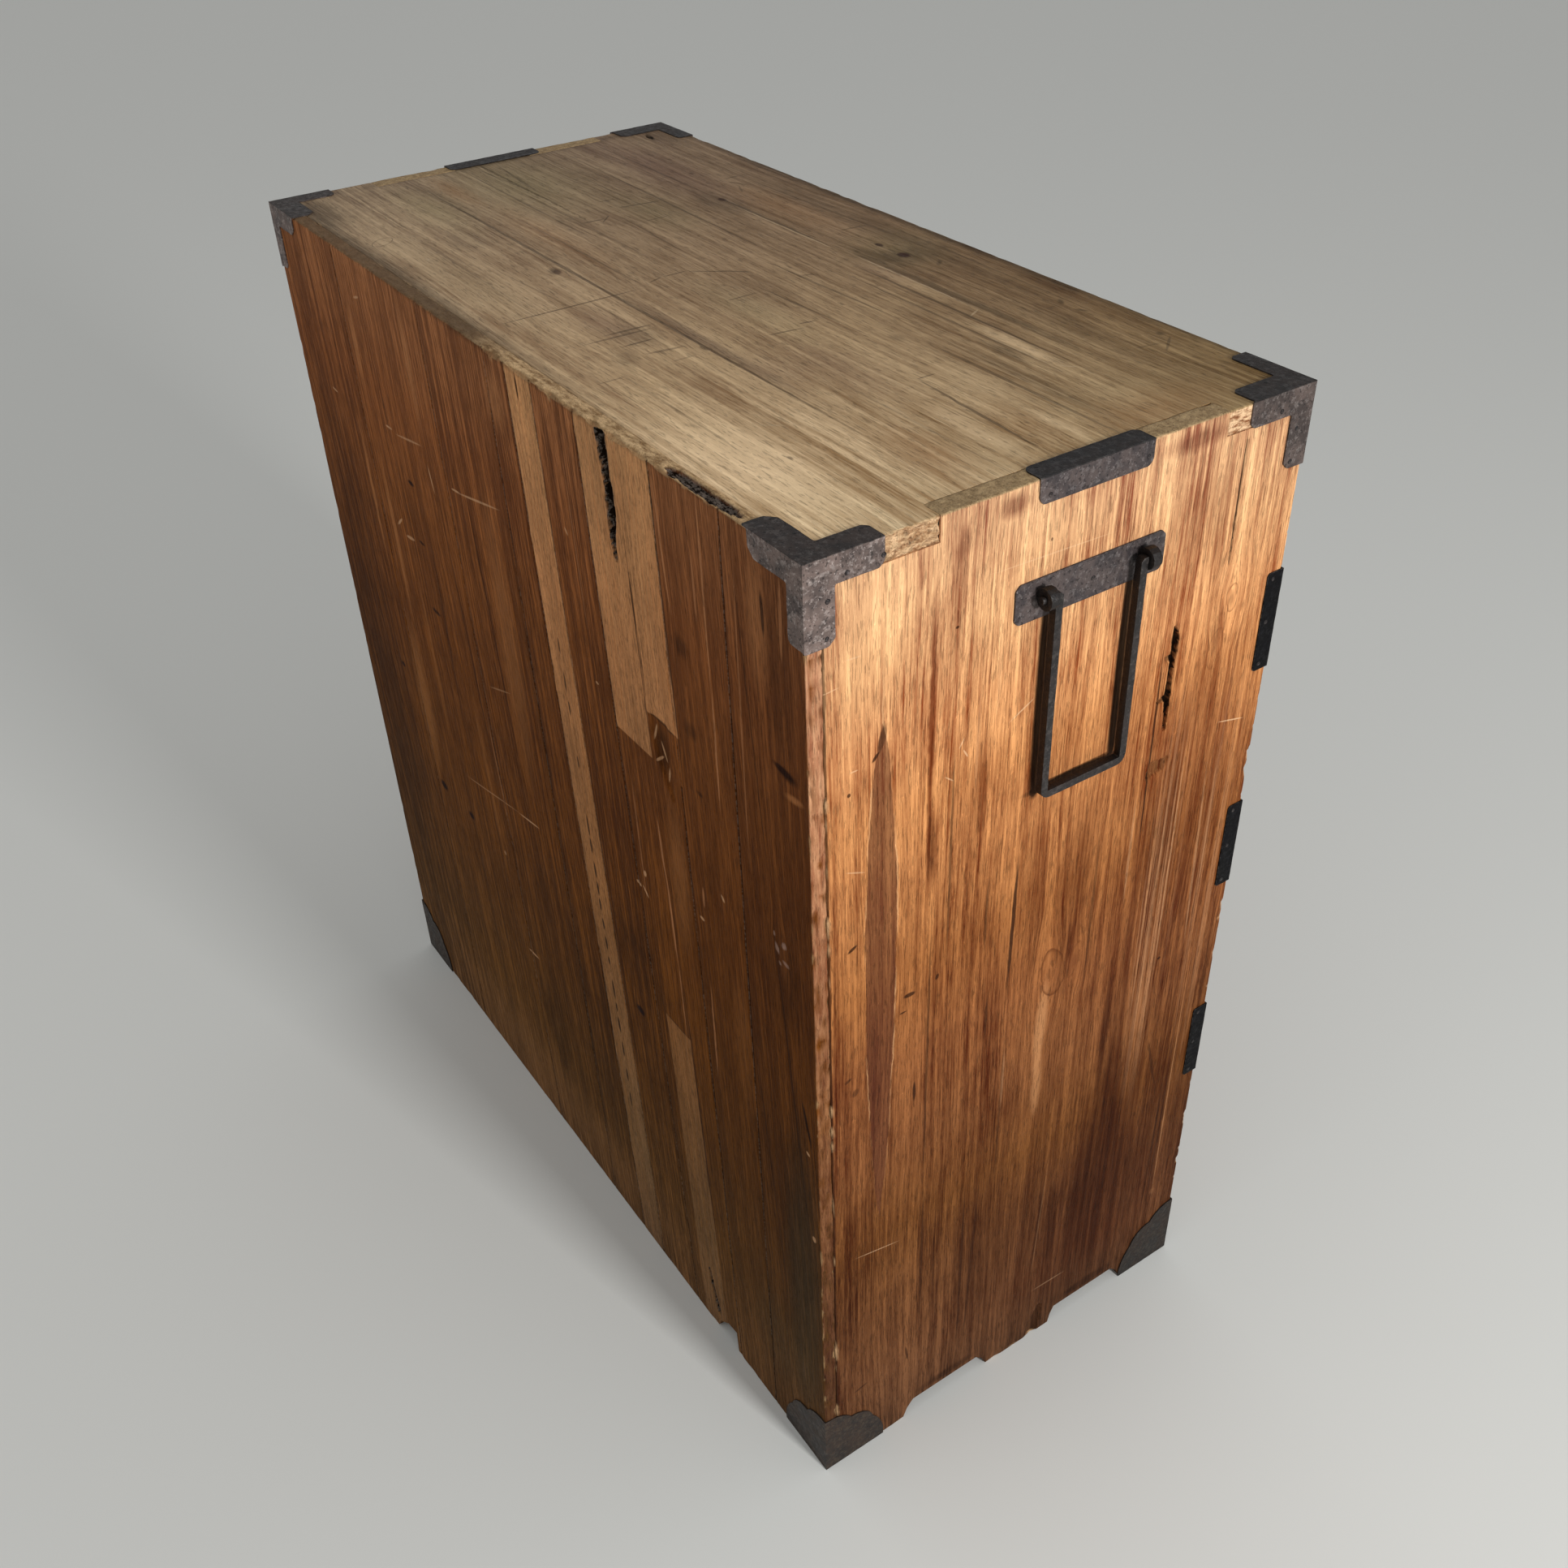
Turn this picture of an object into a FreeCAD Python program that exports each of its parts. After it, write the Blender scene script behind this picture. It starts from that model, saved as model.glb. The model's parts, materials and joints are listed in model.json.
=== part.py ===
import FreeCAD, Part
import math
import os

# A ship chest: finger-jointed carcass in forged irons, five drawers, a hinged
# safe door, and a tall carrying bail at each end. Millimetres. X is the width,
# -Y the front with the drawers, +Y the boarded back, +Z up, the floor at z = 0.
# The origin is under the middle of the whole chest, its front pulls included.

# ---- Driving sizes of the carcass -------------------------------------------
carcass_width = 909.0
carcass_depth = 440.0
carcass_height = 970.0
board = 19.0
back_board = 13.0
rail_height = 18.0
rail_depth = 40.0
dust_board = 8.0
rail_levels = (777.0, 555.0, 317.0)
floor_level = 66.0
base_rail_bottom = 24.0
partition_x = 120.0
housing = 6.0
joint_gap = 0.3

# Notches between the three feet of an end board, measured back from its front
# edge: where each starts and ends at the floor, and how far its two shoulders lean.
notch_height = 22.0
notch_knee = 13.0
knee_share = 0.4
front_notch = (64.0, 163.5)
front_notch_lean = (14.0, 7.0)
back_notch = (244.5, 349.0)
back_notch_lean = (14.0, 12.0)

# Seams between the rear planks: x at the top and x at the foot.
plank_seams = ((300.0, 288.0), (112.0, 84.0), (-18.0, -44.0), (-55.0, -110.0),
               (-98.0, -152.0), (-166.0, -222.0), (-272.0, -306.0), (-360.0, -368.0))

# The piece broken out of one plank's foot, as (x, z).
broken_foot = ((-262.0, 0.0), (-268.0, 14.0), (-284.0, 28.0), (-299.0, 30.0), (-301.0, 0.0))

# ---- Forged iron ------------------------------------------------------------
iron = 1.2
leaf_cut = 4.0
floor_lift = 0.5
strap_middle = 2.5
strap_length = 101.0
strap_width = 18.5
edge_strap_height = 88.0
edge_strap_wrap = 16.0
edge_strap_tongue = 46.0
tongue_inset = 1.0
edge_leaf = 18.5

# A corner iron's L-shaped leaves, measured from the carcass corner: the first
# arm's length and width, the second's, and the cuts off the ends of both.
rear_top_leaf = ((65.0, 22.0, 60.0, 19.0), (7.0, 4.0))
rear_end_leaf = ((60.0, 20.0, 62.0, 22.5), (4.0, 5.0))
rear_back_leaf = ((59.0, 18.5, 60.5, 16.5), (7.0, 3.0))
front_top_leaf = ((66.0, 16.0, 60.0, 23.0), (3.0, 4.0))
front_end_leaf = ((62.5, 19.5, 62.5, 20.5), (4.0, 5.0))
front_face_leaf = ((66.0, 18.5, 62.5, 18.5), (4.0, 4.0))

# A bottom iron's lobed leaf: its reach along the floor and up the edge, the two
# cusps between its three lobes, and the crown of each lobe.
lobe_reach = 66.0
lobe_height = 78.0
low_cusp = (54.0, 41.0)
high_cusp = (29.0, 62.0)
low_crown = (62.5, 26.0)
low_crown_end = (59.0, 34.5)
middle_crown = (45.5, 55.5)
high_crown = (20.5, 71.5)
high_lobe_end = (9.0, 77.0)
face_step = 74.0

# ---- Carrying handles on the ends -------------------------------------------
handle_plate_length = 137.0
handle_plate_height = 31.0
handle_plate_level = 882.0
handle_plate_shift = -17.0
handle_axis_level = 885.5
handle_bar = 6.6
handle_outer = 84.0
handle_drop = 170.0
handle_corner = 9.0
handle_eye = 16.0
handle_eye_length = 8.0
handle_shank = 5.0

# ---- Front pulls ------------------------------------------------------------
pull_plate_length = 104.0
pull_plate_height = 24.0
pull_bar = 5.2
pull_outer = 66.0
pull_drop = 44.0
pull_corner = 7.0
pull_eye = 13.0
pull_eye_length = 6.5
pull_shank = 4.0
clench_length = 18.0
pull_spacing = 470.0

# Both kinds of bail: the square bar's shoulders, its drawn-down round pins, and
# the flats that the hammer leaves round an eye or a hinge knuckle.
bail_shoulder = 0.4
pin_draw = 0.6
eye_flats = 12

# ---- Fits -------------------------------------------------------------------
pin_clearance = 0.05
eye_side_gap = 0.5
pin_overhang = 3.0
drawer_side_gap = 1.0
drawer_top_gap = 1.5
drawer_rest_gap = 0.3

# ---- Drawers ----------------------------------------------------------------
front_board = 20.0
drawer_side = 10.0
drawer_bottom = 7.0
rebate_depth = 12.0
drawer_back_gap = 6.0
side_drop = 2.0

# ---- Locks ------------------------------------------------------------------
lock_plate_width = 64.0
lock_plate_height = 46.0
lock_case_width = 50.0
lock_case_height = 44.0
lock_case_depth = 8.0
lock_wall = 1.7
bolt_width = 14.0
bolt_thickness = 4.0
bolt_length = 34.0
bolt_gap = 0.3
mortise_depth = 8.0
mortise_gap = 1.0
keyhole_width = 3.6
keyhole_height = 14.0
lock_inset = 2.0

# ---- Safe door --------------------------------------------------------------
door_batten = 38.0
door_gap = 1.0
door_lock_inset = 6.0
door_pull_shift = -12.0
case_inset = 1.0
hinge_height = 30.0
hinge_reach = 96.0
hinge_levels = (116.0, 246.0)
knuckle = 7.0
knuckle_stand = 0.5
leaf_inset = 1.0
hinge_pin = 3.4
hinge_slit = 0.4
door_stop = 8.0
safe_shelf_level = 190.0
safe_shelf_thickness = 9.0
safe_shelf_inset = 60.0

# ---- Places worked out from the sizes above ---------------------------------
half_width = carcass_width / 2
inside_half = half_width - board
pull_reach = iron + pull_eye
front = pull_reach - (carcass_depth + pull_reach + iron) / 2
back = front + carcass_depth
inner_back = back - back_board
top_underside = carcass_height - board
finger = 84.0
finger_slots = (1, 3)

ORIGIN = FreeCAD.Vector(0, 0, 0)
X = FreeCAD.Vector(1, 0, 0)
Y = FreeCAD.Vector(0, 1, 0)
Z = FreeCAD.Vector(0, 0, 1)


def block(x0, x1, y0, y1, z0, z1):
    """A box between three pairs of planes."""
    corner = FreeCAD.Vector(x0, y0, z0)
    return Part.makeBox(x1 - x0, y1 - y0, z1 - z0, corner)


def across_x(x):
    """Places outline points (y, z) on the plane at this x."""
    return lambda u, v: FreeCAD.Vector(x, u, v)


def across_y(y):
    """Places outline points (x, z) on the plane at this y."""
    return lambda u, v: FreeCAD.Vector(u, y, v)


def across_z(z):
    """Places outline points (x, y) on the plane at this z."""
    return lambda u, v: FreeCAD.Vector(u, v, z)


def outline(start, steps, place):
    """A closed wire; a step is an end point, or an arc's (middle, end)."""
    edges = []
    here = place(*start)
    for step in list(steps) + [start]:
        if isinstance(step[0], tuple):
            there = place(*step[1])
            edges.append(Part.Arc(here, place(*step[0]), there).toShape())
        else:
            there = place(*step)
            edges.append(Part.LineSegment(here, there).toShape())
        here = there
    return Part.Wire(edges)


def prism(start, steps, place, along):
    """The outline, extruded."""
    return Part.Face(outline(start, steps, place)).extrude(along)


def chamfered_plate(u0, u1, v0, v1, cut, place, along):
    """A rectangular plate with its four corners cut off."""
    steps = [(u1 - cut, v0), (u1, v0 + cut), (u1, v1 - cut), (u1 - cut, v1),
             (u0 + cut, v1), (u0, v1 - cut), (u0, v0 + cut)]
    return prism((u0 + cut, v0), steps, place, along)


def hammered_round(size, length, start, along):
    """A bar of this thickness over its many small flats, along X or Z from its start."""
    across = along.cross(Y)
    corner = size / 2 / math.cos(math.pi / eye_flats)
    points = []
    for index in range(eye_flats):
        angle = 2 * math.pi * (index + 0.5) / eye_flats
        points.append(start + (Y * math.cos(angle) + across * math.sin(angle)) * corner)
    return Part.Face(Part.makePolygon(points + points[:1])).extrude(along * length)


def fused(solids):
    """One solid out of several that touch or overlap."""
    whole = solids[0].fuse(solids[1:])
    return whole.removeSplitter().Solids[0]


def cut_from(solid, tools):
    """The solid less all the tools, still one solid."""
    if not tools:
        return solid
    return solid.cut(Part.makeCompound(tools)).Solids[0]


def export(node, solids):
    """Write one sub-part, made of one or more separate solids."""
    shape = solids[0] if len(solids) == 1 else Part.makeCompound(solids)
    shape.exportStep("parts/" + node + ".step")


# ---- Carcass ----------------------------------------------------------------
def finger_blocks(side):
    """The end board's fingers where they pass through the top board."""
    outer = side * half_width
    inner = side * inside_half
    blocks = []
    for slot in finger_slots:
        start = front + slot * finger
        blocks.append(block(min(outer, inner), max(outer, inner), start, start + finger,
                            top_underside, carcass_height))
    return blocks


def top_board():
    """The top, with a row of fingers at each end."""
    slab = block(-half_width, half_width, front, inner_back, top_underside, carcass_height)
    slots = finger_blocks(-1) + finger_blocks(1)
    bolt_way = bolt_mortise(0, top_underside)
    return cut_from(slab, slots + [bolt_way])


def base_notch(side, span, lean):
    """One cut-out under an end board, its shoulders leaning inwards."""
    near = front + span[0]
    far = front + span[1]
    steps = [(near + lean[0] * knee_share, notch_knee), (near + lean[0], notch_height),
             (far - lean[1], notch_height), (far - lean[1] * knee_share, notch_knee), (far, 0)]
    inner = min(side * half_width, side * inside_half)
    return prism((near, 0), steps, across_x(inner), X * board)


def housed_boards(side):
    """Every rail and shelf whose end is let into this end board."""
    boards = front_rails() + dust_boards() + [bottom_board()]
    if side < 0:
        return boards + small_drawer_shelf()
    return boards + [safe_shelf()]


def side_board(side):
    """An end board: fingers above, three feet below, housings for what it carries."""
    inner = min(side * half_width, side * inside_half)
    slab = block(inner, inner + board, front, inner_back, 0, top_underside)
    whole = fused([slab] + finger_blocks(side))
    notches = [base_notch(side, front_notch, front_notch_lean),
               base_notch(side, back_notch, back_notch_lean)]
    return cut_from(whole, notches + handle_shanks(side) + housed_boards(side))


def back_boards():
    """Upright planks nailed over the rear; their seams lean, and one foot is broken out."""
    edges = ((half_width, half_width),) + plank_seams + ((-half_width, -half_width),)
    broken = prism(broken_foot[0], broken_foot[1:], across_y(inner_back), Y * back_board)
    planks = []
    for left, right in zip(edges, edges[1:]):
        left_gap = joint_gap / 2 if left in plank_seams else 0
        right_gap = joint_gap / 2 if right in plank_seams else 0
        steps = [(left[0] - left_gap, carcass_height), (right[0] + right_gap, carcass_height),
                 (right[1] + right_gap, 0)]
        plank = prism((left[1] - left_gap, 0), steps, across_y(inner_back), Y * back_board)
        planks.append(cut_from(plank, [broken]))
    return planks


def rail_bottom(index):
    return rail_levels[index] - rail_height / 2


def rail_top(index):
    return rail_levels[index] + rail_height / 2


def front_rails():
    """Three rails between the drawers and the taller one under them, all let into the ends."""
    half = inside_half + housing
    rails = []
    for index in range(len(rail_levels)):
        rail = block(-half, half, front, front + rail_depth, rail_bottom(index), rail_top(index))
        has_bolt_above = index < len(rail_levels) - 1
        ways = [bolt_mortise(0, rail_bottom(index))] if has_bolt_above else []
        rails.append(cut_from(rail, ways))
    base = block(-half, half, front, front + board, base_rail_bottom, floor_level)
    return rails + [base]


def dust_boards():
    """Thin boards behind the rails, level with them, on which the drawers run."""
    half = inside_half + housing
    boards = []
    for index in range(len(rail_levels)):
        top = rail_top(index)
        boards.append(block(-half, half, front + rail_depth, inner_back, top - dust_board, top))
    return boards


def bottom_board():
    half = inside_half + housing
    return block(-half, half, front + board, inner_back, floor_level - board, floor_level)


def partition_faces():
    """Where the safe partition's left and right faces are."""
    return partition_x - rail_height / 2, partition_x + rail_height / 2


def safe_partition():
    """The upright board between the small drawers and the safe, notched round the rail."""
    left, right = partition_faces()
    wall = block(left, right, front, inner_back, floor_level, rail_top(2) - dust_board)
    rail = block(left, right, front, front + rail_depth, rail_bottom(2), carcass_height)
    slack = bolt_width / 2 + mortise_gap
    way = block(right - mortise_depth, right, bolt_front() - mortise_gap,
                bolt_front() + bolt_thickness + mortise_gap, door_middle() - slack,
                door_middle() + slack)
    return cut_from(wall, [rail, way, safe_shelf()] + small_drawer_shelf())


def door_middle():
    """Height of the middle of the safe door."""
    return (floor_level + rail_bottom(2)) / 2


def small_drawer_shelf():
    """The rail and thin board between the two small drawers."""
    low = door_middle() - rail_height / 2
    left = -inside_half - housing
    right = partition_faces()[0] + housing
    top = low + rail_height
    rail = block(left, right, front, front + rail_depth, low, top)
    shelf = block(left, right, front + rail_depth, inner_back, top - dust_board, top)
    return [rail, shelf]


def safe_shelf():
    left = partition_faces()[1] - housing
    return block(left, inside_half + housing, front + safe_shelf_inset, inner_back,
                 safe_shelf_level, safe_shelf_level + safe_shelf_thickness)


def door_stops():
    """Two battens that the closed safe door comes up against."""
    left = partition_faces()[1]
    near = front + front_board + joint_gap * 2
    far = near + door_stop
    top = rail_bottom(2)
    return [block(left, inside_half, near, far, floor_level, floor_level + door_stop),
            block(left, inside_half, near, far, top - door_stop, top)]


# ---- Irons ------------------------------------------------------------------
def angle_leaf(leaf, place, along):
    """A flat L: one arm along u, one along v, the free corners cut off."""
    (long_u, wide_u, long_v, wide_v), (cut_u, cut_v) = leaf
    steps = [(long_u, -iron), (long_u, wide_u - cut_u), (long_u - cut_u, wide_u),
             (wide_v, wide_u), (wide_v, long_v - cut_v), (wide_v - cut_v, long_v),
             (-iron, long_v)]
    return prism((-iron, -iron), steps, place, along)


def lobed_leaf(place, along, on_front):
    """A bottom iron's leaf: a quarter round in three lobes, stepped back on the drawer front."""
    if on_front:
        steps = [(edge_leaf, floor_lift), (edge_leaf, low_crown[1]), low_crown,
                 (low_crown_end, low_cusp), (middle_crown, high_cusp),
                 (edge_leaf, high_cusp[1]), (edge_leaf, face_step),
                 (edge_leaf - (lobe_height - face_step), lobe_height)]
    else:
        steps = [(lobe_reach, floor_lift), (low_crown, low_cusp), (middle_crown, high_cusp),
                 (high_crown, high_lobe_end)]
    return prism((-iron, floor_lift), steps + [(-iron, lobe_height)], place, along)


def set_in_corner(solid, side, at_back, at_top):
    """Turn an iron drawn in its own corner into one corner of the carcass."""
    placed = solid
    if side > 0:
        placed = placed.mirror(ORIGIN, X)
    if at_back:
        placed = placed.mirror(ORIGIN, Y)
    if at_top:
        placed = placed.mirror(ORIGIN, Z)
    corner = FreeCAD.Vector(side * half_width, back if at_back else front,
                            carcass_height if at_top else 0)
    placed.translate(corner)
    return placed


def top_corner_iron(at_back):
    """A three-faced bracket over one corner of the top."""
    leaves = (rear_top_leaf, rear_end_leaf, rear_back_leaf)
    if not at_back:
        leaves = (front_top_leaf, front_end_leaf, front_face_leaf)
    return fused([angle_leaf(leaves[0], across_z(-iron), Z * iron),
                  angle_leaf(leaves[1], across_x(-iron), X * iron),
                  angle_leaf(leaves[2], across_y(-iron), Y * iron)])


def bottom_corner_iron(at_back):
    """A two-faced bracket with a lobed outline."""
    end = lobed_leaf(across_x(-iron), X * iron, False)
    face = lobed_leaf(across_y(-iron), Y * iron, not at_back)
    return fused([end, face])


def corner_irons(make, at_top):
    irons = []
    for at_back in (True, False):
        for side in (-1, 1):
            irons.append(set_in_corner(make(at_back), side, at_back, at_top))
    return irons


def top_edge_strap(side):
    """An angle strap over the middle of the top's end edge."""
    middle = handle_middle() + strap_middle
    near = middle - strap_length / 2
    far = middle + strap_length / 2
    cut = leaf_cut
    end = prism((near, iron), [(far, iron), (far, cut - strap_width), (far - cut, -strap_width),
                               (near + cut, -strap_width), (near, cut - strap_width)],
                across_x(-iron), X * iron)
    top = prism((-iron, near), [(strap_width - cut, near), (strap_width, near + cut),
                                (strap_width, far - cut), (strap_width - cut, far), (-iron, far)],
                across_z(0), Z * iron)
    strap = fused([end, top])
    if side > 0:
        strap = strap.mirror(ORIGIN, X)
    strap.translate(FreeCAD.Vector(side * half_width, 0, carcass_height))
    return strap


def front_edge_strap(side, level):
    """An angle strap round the front edge, with a tongue along the rail."""
    half = edge_strap_height / 2
    cut = leaf_cut / 2
    tongue = rail_height / 2 - tongue_inset
    end = prism((-iron, -half), [(edge_strap_wrap - cut, -half), (edge_strap_wrap, cut - half),
                                 (edge_strap_wrap, half - cut), (edge_strap_wrap - cut, half),
                                 (-iron, half)], across_x(-iron), X * iron)
    reach = edge_leaf + edge_strap_tongue
    face = prism((-iron, -half), [(edge_leaf, -half), (edge_leaf, -tongue), (reach - cut, -tongue),
                                  (reach, cut - tongue), (reach, tongue - cut),
                                  (reach - cut, tongue), (edge_leaf, tongue), (edge_leaf, half),
                                  (-iron, half)], across_y(-iron), Y * iron)
    strap = fused([end, face])
    if side > 0:
        strap = strap.mirror(ORIGIN, X)
    strap.translate(FreeCAD.Vector(side * half_width, front, level))
    return strap


# ---- Bails and the eyes they hang in ----------------------------------------
def bail_corner(x, z, radius, way):
    """The middle and the end of the arc round a lower corner, left (-1) or right (1)."""
    slack = radius * (1 - 0.5 ** 0.5)
    middle = (x - way * slack, z + slack)
    if way < 0:
        return middle, (x + radius, z)
    return middle, (x, z + radius)


def bail(outer, drop, bar, pin_length, radius):
    """A square bar bent to a U; its ends turn outwards as round pins along X."""
    half = outer / 2
    inner = half - bar
    top = bar / 2
    bend = bar * bail_shoulder
    steps = [(-half, radius - drop), bail_corner(-half, -drop, radius, -1),
             (half - radius, -drop), bail_corner(half, -drop, radius, 1),
             (half, top), (inner + bend, top), (inner, top - bend), (inner, bar - drop),
             (-inner, bar - drop), (-inner, top - bend), (-inner - bend, top)]
    loop = prism((-half, top), steps, across_y(-bar / 2), Y * bar)
    pins = []
    for side in (-1, 1):
        start = FreeCAD.Vector(side * half, 0, 0)
        pins.append(Part.makeCylinder((bar - pin_draw) / 2, pin_length, start, X * side))
    return fused([loop] + pins)


def eye_post(size, length, bar, shank, shank_length):
    """A split pin's eye round the X axis for this bail's pin, its square shank running to +Y."""
    start = FreeCAD.Vector(-length / 2, 0, 0)
    bore = bar - pin_draw + 2 * pin_clearance
    ring = hammered_round(size, length, start, X)
    hole = hammered_round(bore, length, start, X)
    half = shank / 2
    stem = block(-half, half, bore / 2 + half, size / 2 + shank_length, -half, half)
    return cut_from(fused([ring, stem]), [hole])


def eye_offset(outer, length):
    """How far an eye's middle lies from the middle of its bail."""
    return outer / 2 + eye_side_gap + length / 2


def handle_middle():
    return front + carcass_depth / 2 + handle_plate_shift


def handle_post(side, way):
    """One eye post of an end handle, through the plate and the end board."""
    post = eye_post(handle_eye, handle_eye_length, handle_bar, handle_shank, iron + board)
    post.rotate(ORIGIN, Z, 90 * side)
    reach = half_width + iron + handle_eye / 2
    along = handle_middle() + way * eye_offset(handle_outer, handle_eye_length)
    post.translate(FreeCAD.Vector(side * reach, along, handle_axis_level))
    return post


def handle_shanks(side):
    return [handle_post(side, way) for way in (-1, 1)]


def handle_plate(side):
    middle = handle_middle()
    x = side * half_width if side > 0 else side * half_width - iron
    plate = chamfered_plate(middle - handle_plate_length / 2, middle + handle_plate_length / 2,
                            handle_plate_level - handle_plate_height / 2,
                            handle_plate_level + handle_plate_height / 2, leaf_cut,
                            across_x(x), X * iron)
    return cut_from(plate, handle_shanks(side))


def side_handle(side):
    """The tall carrying bail, hanging straight down at rest."""
    pin_length = eye_side_gap + handle_eye_length + pin_overhang
    handle = bail(handle_outer, handle_drop, handle_bar, pin_length, handle_corner)
    handle.rotate(ORIGIN, Z, 90)
    reach = half_width + iron + handle_eye / 2
    handle.translate(FreeCAD.Vector(side * reach, handle_middle(), handle_axis_level))
    return handle


def pull_axis_y():
    return front - iron - pull_eye / 2


def pull_posts(x, z):
    """The two eye posts of a front pull, clenched behind the front board."""
    posts = []
    behind = pull_eye / 2 + iron + front_board
    for way in (-1, 1):
        post = eye_post(pull_eye, pull_eye_length, pull_bar, pull_shank, iron + front_board)
        clench = block(-clench_length / 2, clench_length / 2, behind, behind + iron,
                       -pull_shank / 2, pull_shank / 2)
        post = fused([post, clench])
        along = x + way * eye_offset(pull_outer, pull_eye_length)
        post.translate(FreeCAD.Vector(along, pull_axis_y(), z))
        posts.append(post)
    return posts


def pull_plate(x, z):
    plate = chamfered_plate(x - pull_plate_length / 2, x + pull_plate_length / 2,
                            z - pull_plate_height / 2, z + pull_plate_height / 2, leaf_cut,
                            across_y(front - iron), Y * iron)
    return cut_from(plate, pull_posts(x, z))


def pull(x, z):
    pin_length = eye_side_gap + pull_eye_length + pin_overhang
    handle = bail(pull_outer, pull_drop, pull_bar, pin_length, pull_corner)
    handle.translate(FreeCAD.Vector(x, pull_axis_y(), z))
    return handle


# ---- Locks ------------------------------------------------------------------
def bolt_front():
    """The near side of every bolt, just inside its case."""
    return front + front_board + lock_wall + bolt_gap


def bolt_mortise(x, underside):
    """The hole above a drawer that its bolt rises into."""
    half = bolt_width / 2 + mortise_gap
    return block(x - half, x + half, bolt_front() - mortise_gap,
                 bolt_front() + bolt_thickness + mortise_gap, underside, underside + mortise_depth)


def lock_case(x, top):
    """A flat iron case behind the front, open above for the bolt."""
    half = lock_case_width / 2
    near = front + front_board
    case = block(x - half, x + half, near, near + lock_case_depth, top - lock_case_height, top)
    way = bolt_width / 2 + bolt_gap
    slot = block(x - way, x + way, bolt_front() - bolt_gap,
                 bolt_front() + bolt_thickness + bolt_gap, top - bolt_length - bolt_gap, top)
    return cut_from(case, [slot])


def lock_bolt(x, top):
    half = bolt_width / 2
    return block(x - half, x + half, bolt_front(), bolt_front() + bolt_thickness,
                 top - bolt_length, top)


def keyhole(x, z):
    """A narrow key slot, right through the plate and the board."""
    half = keyhole_width / 2
    return block(x - half, x + half, front - iron, front + front_board, z - keyhole_height / 2,
                 z + keyhole_height / 2)


def lock_plate(x, z):
    plate = chamfered_plate(x - lock_plate_width / 2, x + lock_plate_width / 2,
                            z - lock_plate_height / 2, z + lock_plate_height / 2, leaf_cut,
                            across_y(front - iron), Y * iron)
    return cut_from(plate, [keyhole(x, z)])


# ---- Drawers ----------------------------------------------------------------
def drawer(x0, x1, z0, z1, pulls, has_lock):
    """All pieces of one drawer that fills the opening given."""
    left = x0 + drawer_side_gap
    right = x1 - drawer_side_gap
    low = z0 + drawer_rest_gap
    high = z1 - drawer_top_gap
    rear = inner_back - drawer_back_gap
    middle = (left + right) / 2
    pull_level = (low + high) / 2 + pull_drop / 4
    shoulder = front + front_board - rebate_depth
    rebates = [block(left, left + drawer_side, shoulder, front + front_board, low, high),
               block(right - drawer_side, right, shoulder, front + front_board, low, high),
               block(left, right, shoulder, front + front_board, low, low + drawer_bottom)]
    holes = []
    posts = []
    plates = []
    bails = []
    for x in pulls:
        these = pull_posts(middle + x, pull_level)
        posts += these
        holes += these
        plates.append(pull_plate(middle + x, pull_level))
        bails.append(pull(middle + x, pull_level))
    lock = []
    bolt = []
    key_level = high - lock_plate_height / 2 - lock_inset
    if has_lock:
        holes.append(keyhole(middle, key_level))
        case_top = high - drawer_rest_gap
        lock = [lock_plate(middle, key_level), lock_case(middle, case_top)]
        bolt = [lock_bolt(middle, case_top)]
    panel = block(left, right, front, front + front_board, low, high)
    panel = cut_from(panel, rebates + holes)
    floor = low + drawer_bottom
    rim = high - side_drop
    box = [block(left, left + drawer_side, shoulder, rear, floor, rim),
           block(right - drawer_side, right, shoulder, rear, floor, rim),
           block(left + drawer_side, right - drawer_side, rear - drawer_side, rear, floor,
                 rim - side_drop),
           block(left, right, shoulder, rear, low, floor)]
    return {"front": [panel], "box": box, "pull_mounts": plates + posts, "lock": lock,
            "lock_bolt": bolt, "pulls": bails}


def export_drawer(name, pieces, pull_names):
    for part in ("front", "box", "pull_mounts", "lock", "lock_bolt"):
        if pieces[part]:
            export(name + "_" + part, pieces[part])
    for pull_name, solid in zip(pull_names, pieces["pulls"]):
        export(name + "_" + pull_name, [solid])


# ---- Safe door --------------------------------------------------------------
def door_edges():
    """Left, right, low and high edge of the safe door."""
    left = partition_faces()[1] + door_gap
    right = inside_half - door_gap
    low = floor_level + door_gap
    high = rail_bottom(2) - door_gap
    return left, right, low, high


def hinge_axis():
    x = inside_half - door_gap / 2
    y = front - knuckle_stand - knuckle / 2
    return x, y


def hinge_knuckle(low, high, bore):
    """A stretch of the hinge barrel with the pin hole through it."""
    x, y = hinge_axis()
    start = FreeCAD.Vector(x, y, low)
    barrel = hammered_round(knuckle, high - low, start, Z)
    hole = hammered_round(bore, high - low, start, Z)
    return barrel, hole


def knuckle_spans(level):
    """The heights of the lower, middle and upper third of one hinge."""
    third = hinge_height / 3
    low = level - hinge_height / 2
    half = hinge_slit / 2
    return ((low, low + third - half), (low + third + half, low + 2 * third - half),
            (low + 2 * third + half, low + hinge_height))


def door_hinge_strap(level):
    """The long leaf on the door with the middle knuckle."""
    x, y = hinge_axis()
    low, high = knuckle_spans(level)[1]
    barrel, hole = hinge_knuckle(low, high, hinge_pin + 2 * pin_clearance)
    half = hinge_height / 2
    near = x - knuckle / 2 - hinge_slit
    tip = x - hinge_reach
    shoulder = tip + half
    leaf = prism((near, level - half), [(shoulder, level - half), (tip, level),
                                        (shoulder, level + half), (near, level + half)],
                 across_y(front - iron), Y * iron)
    neck = block(near - leaf_inset, x, front - iron, front, low, high)
    return cut_from(fused([leaf, neck, barrel]), [hole])


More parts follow.
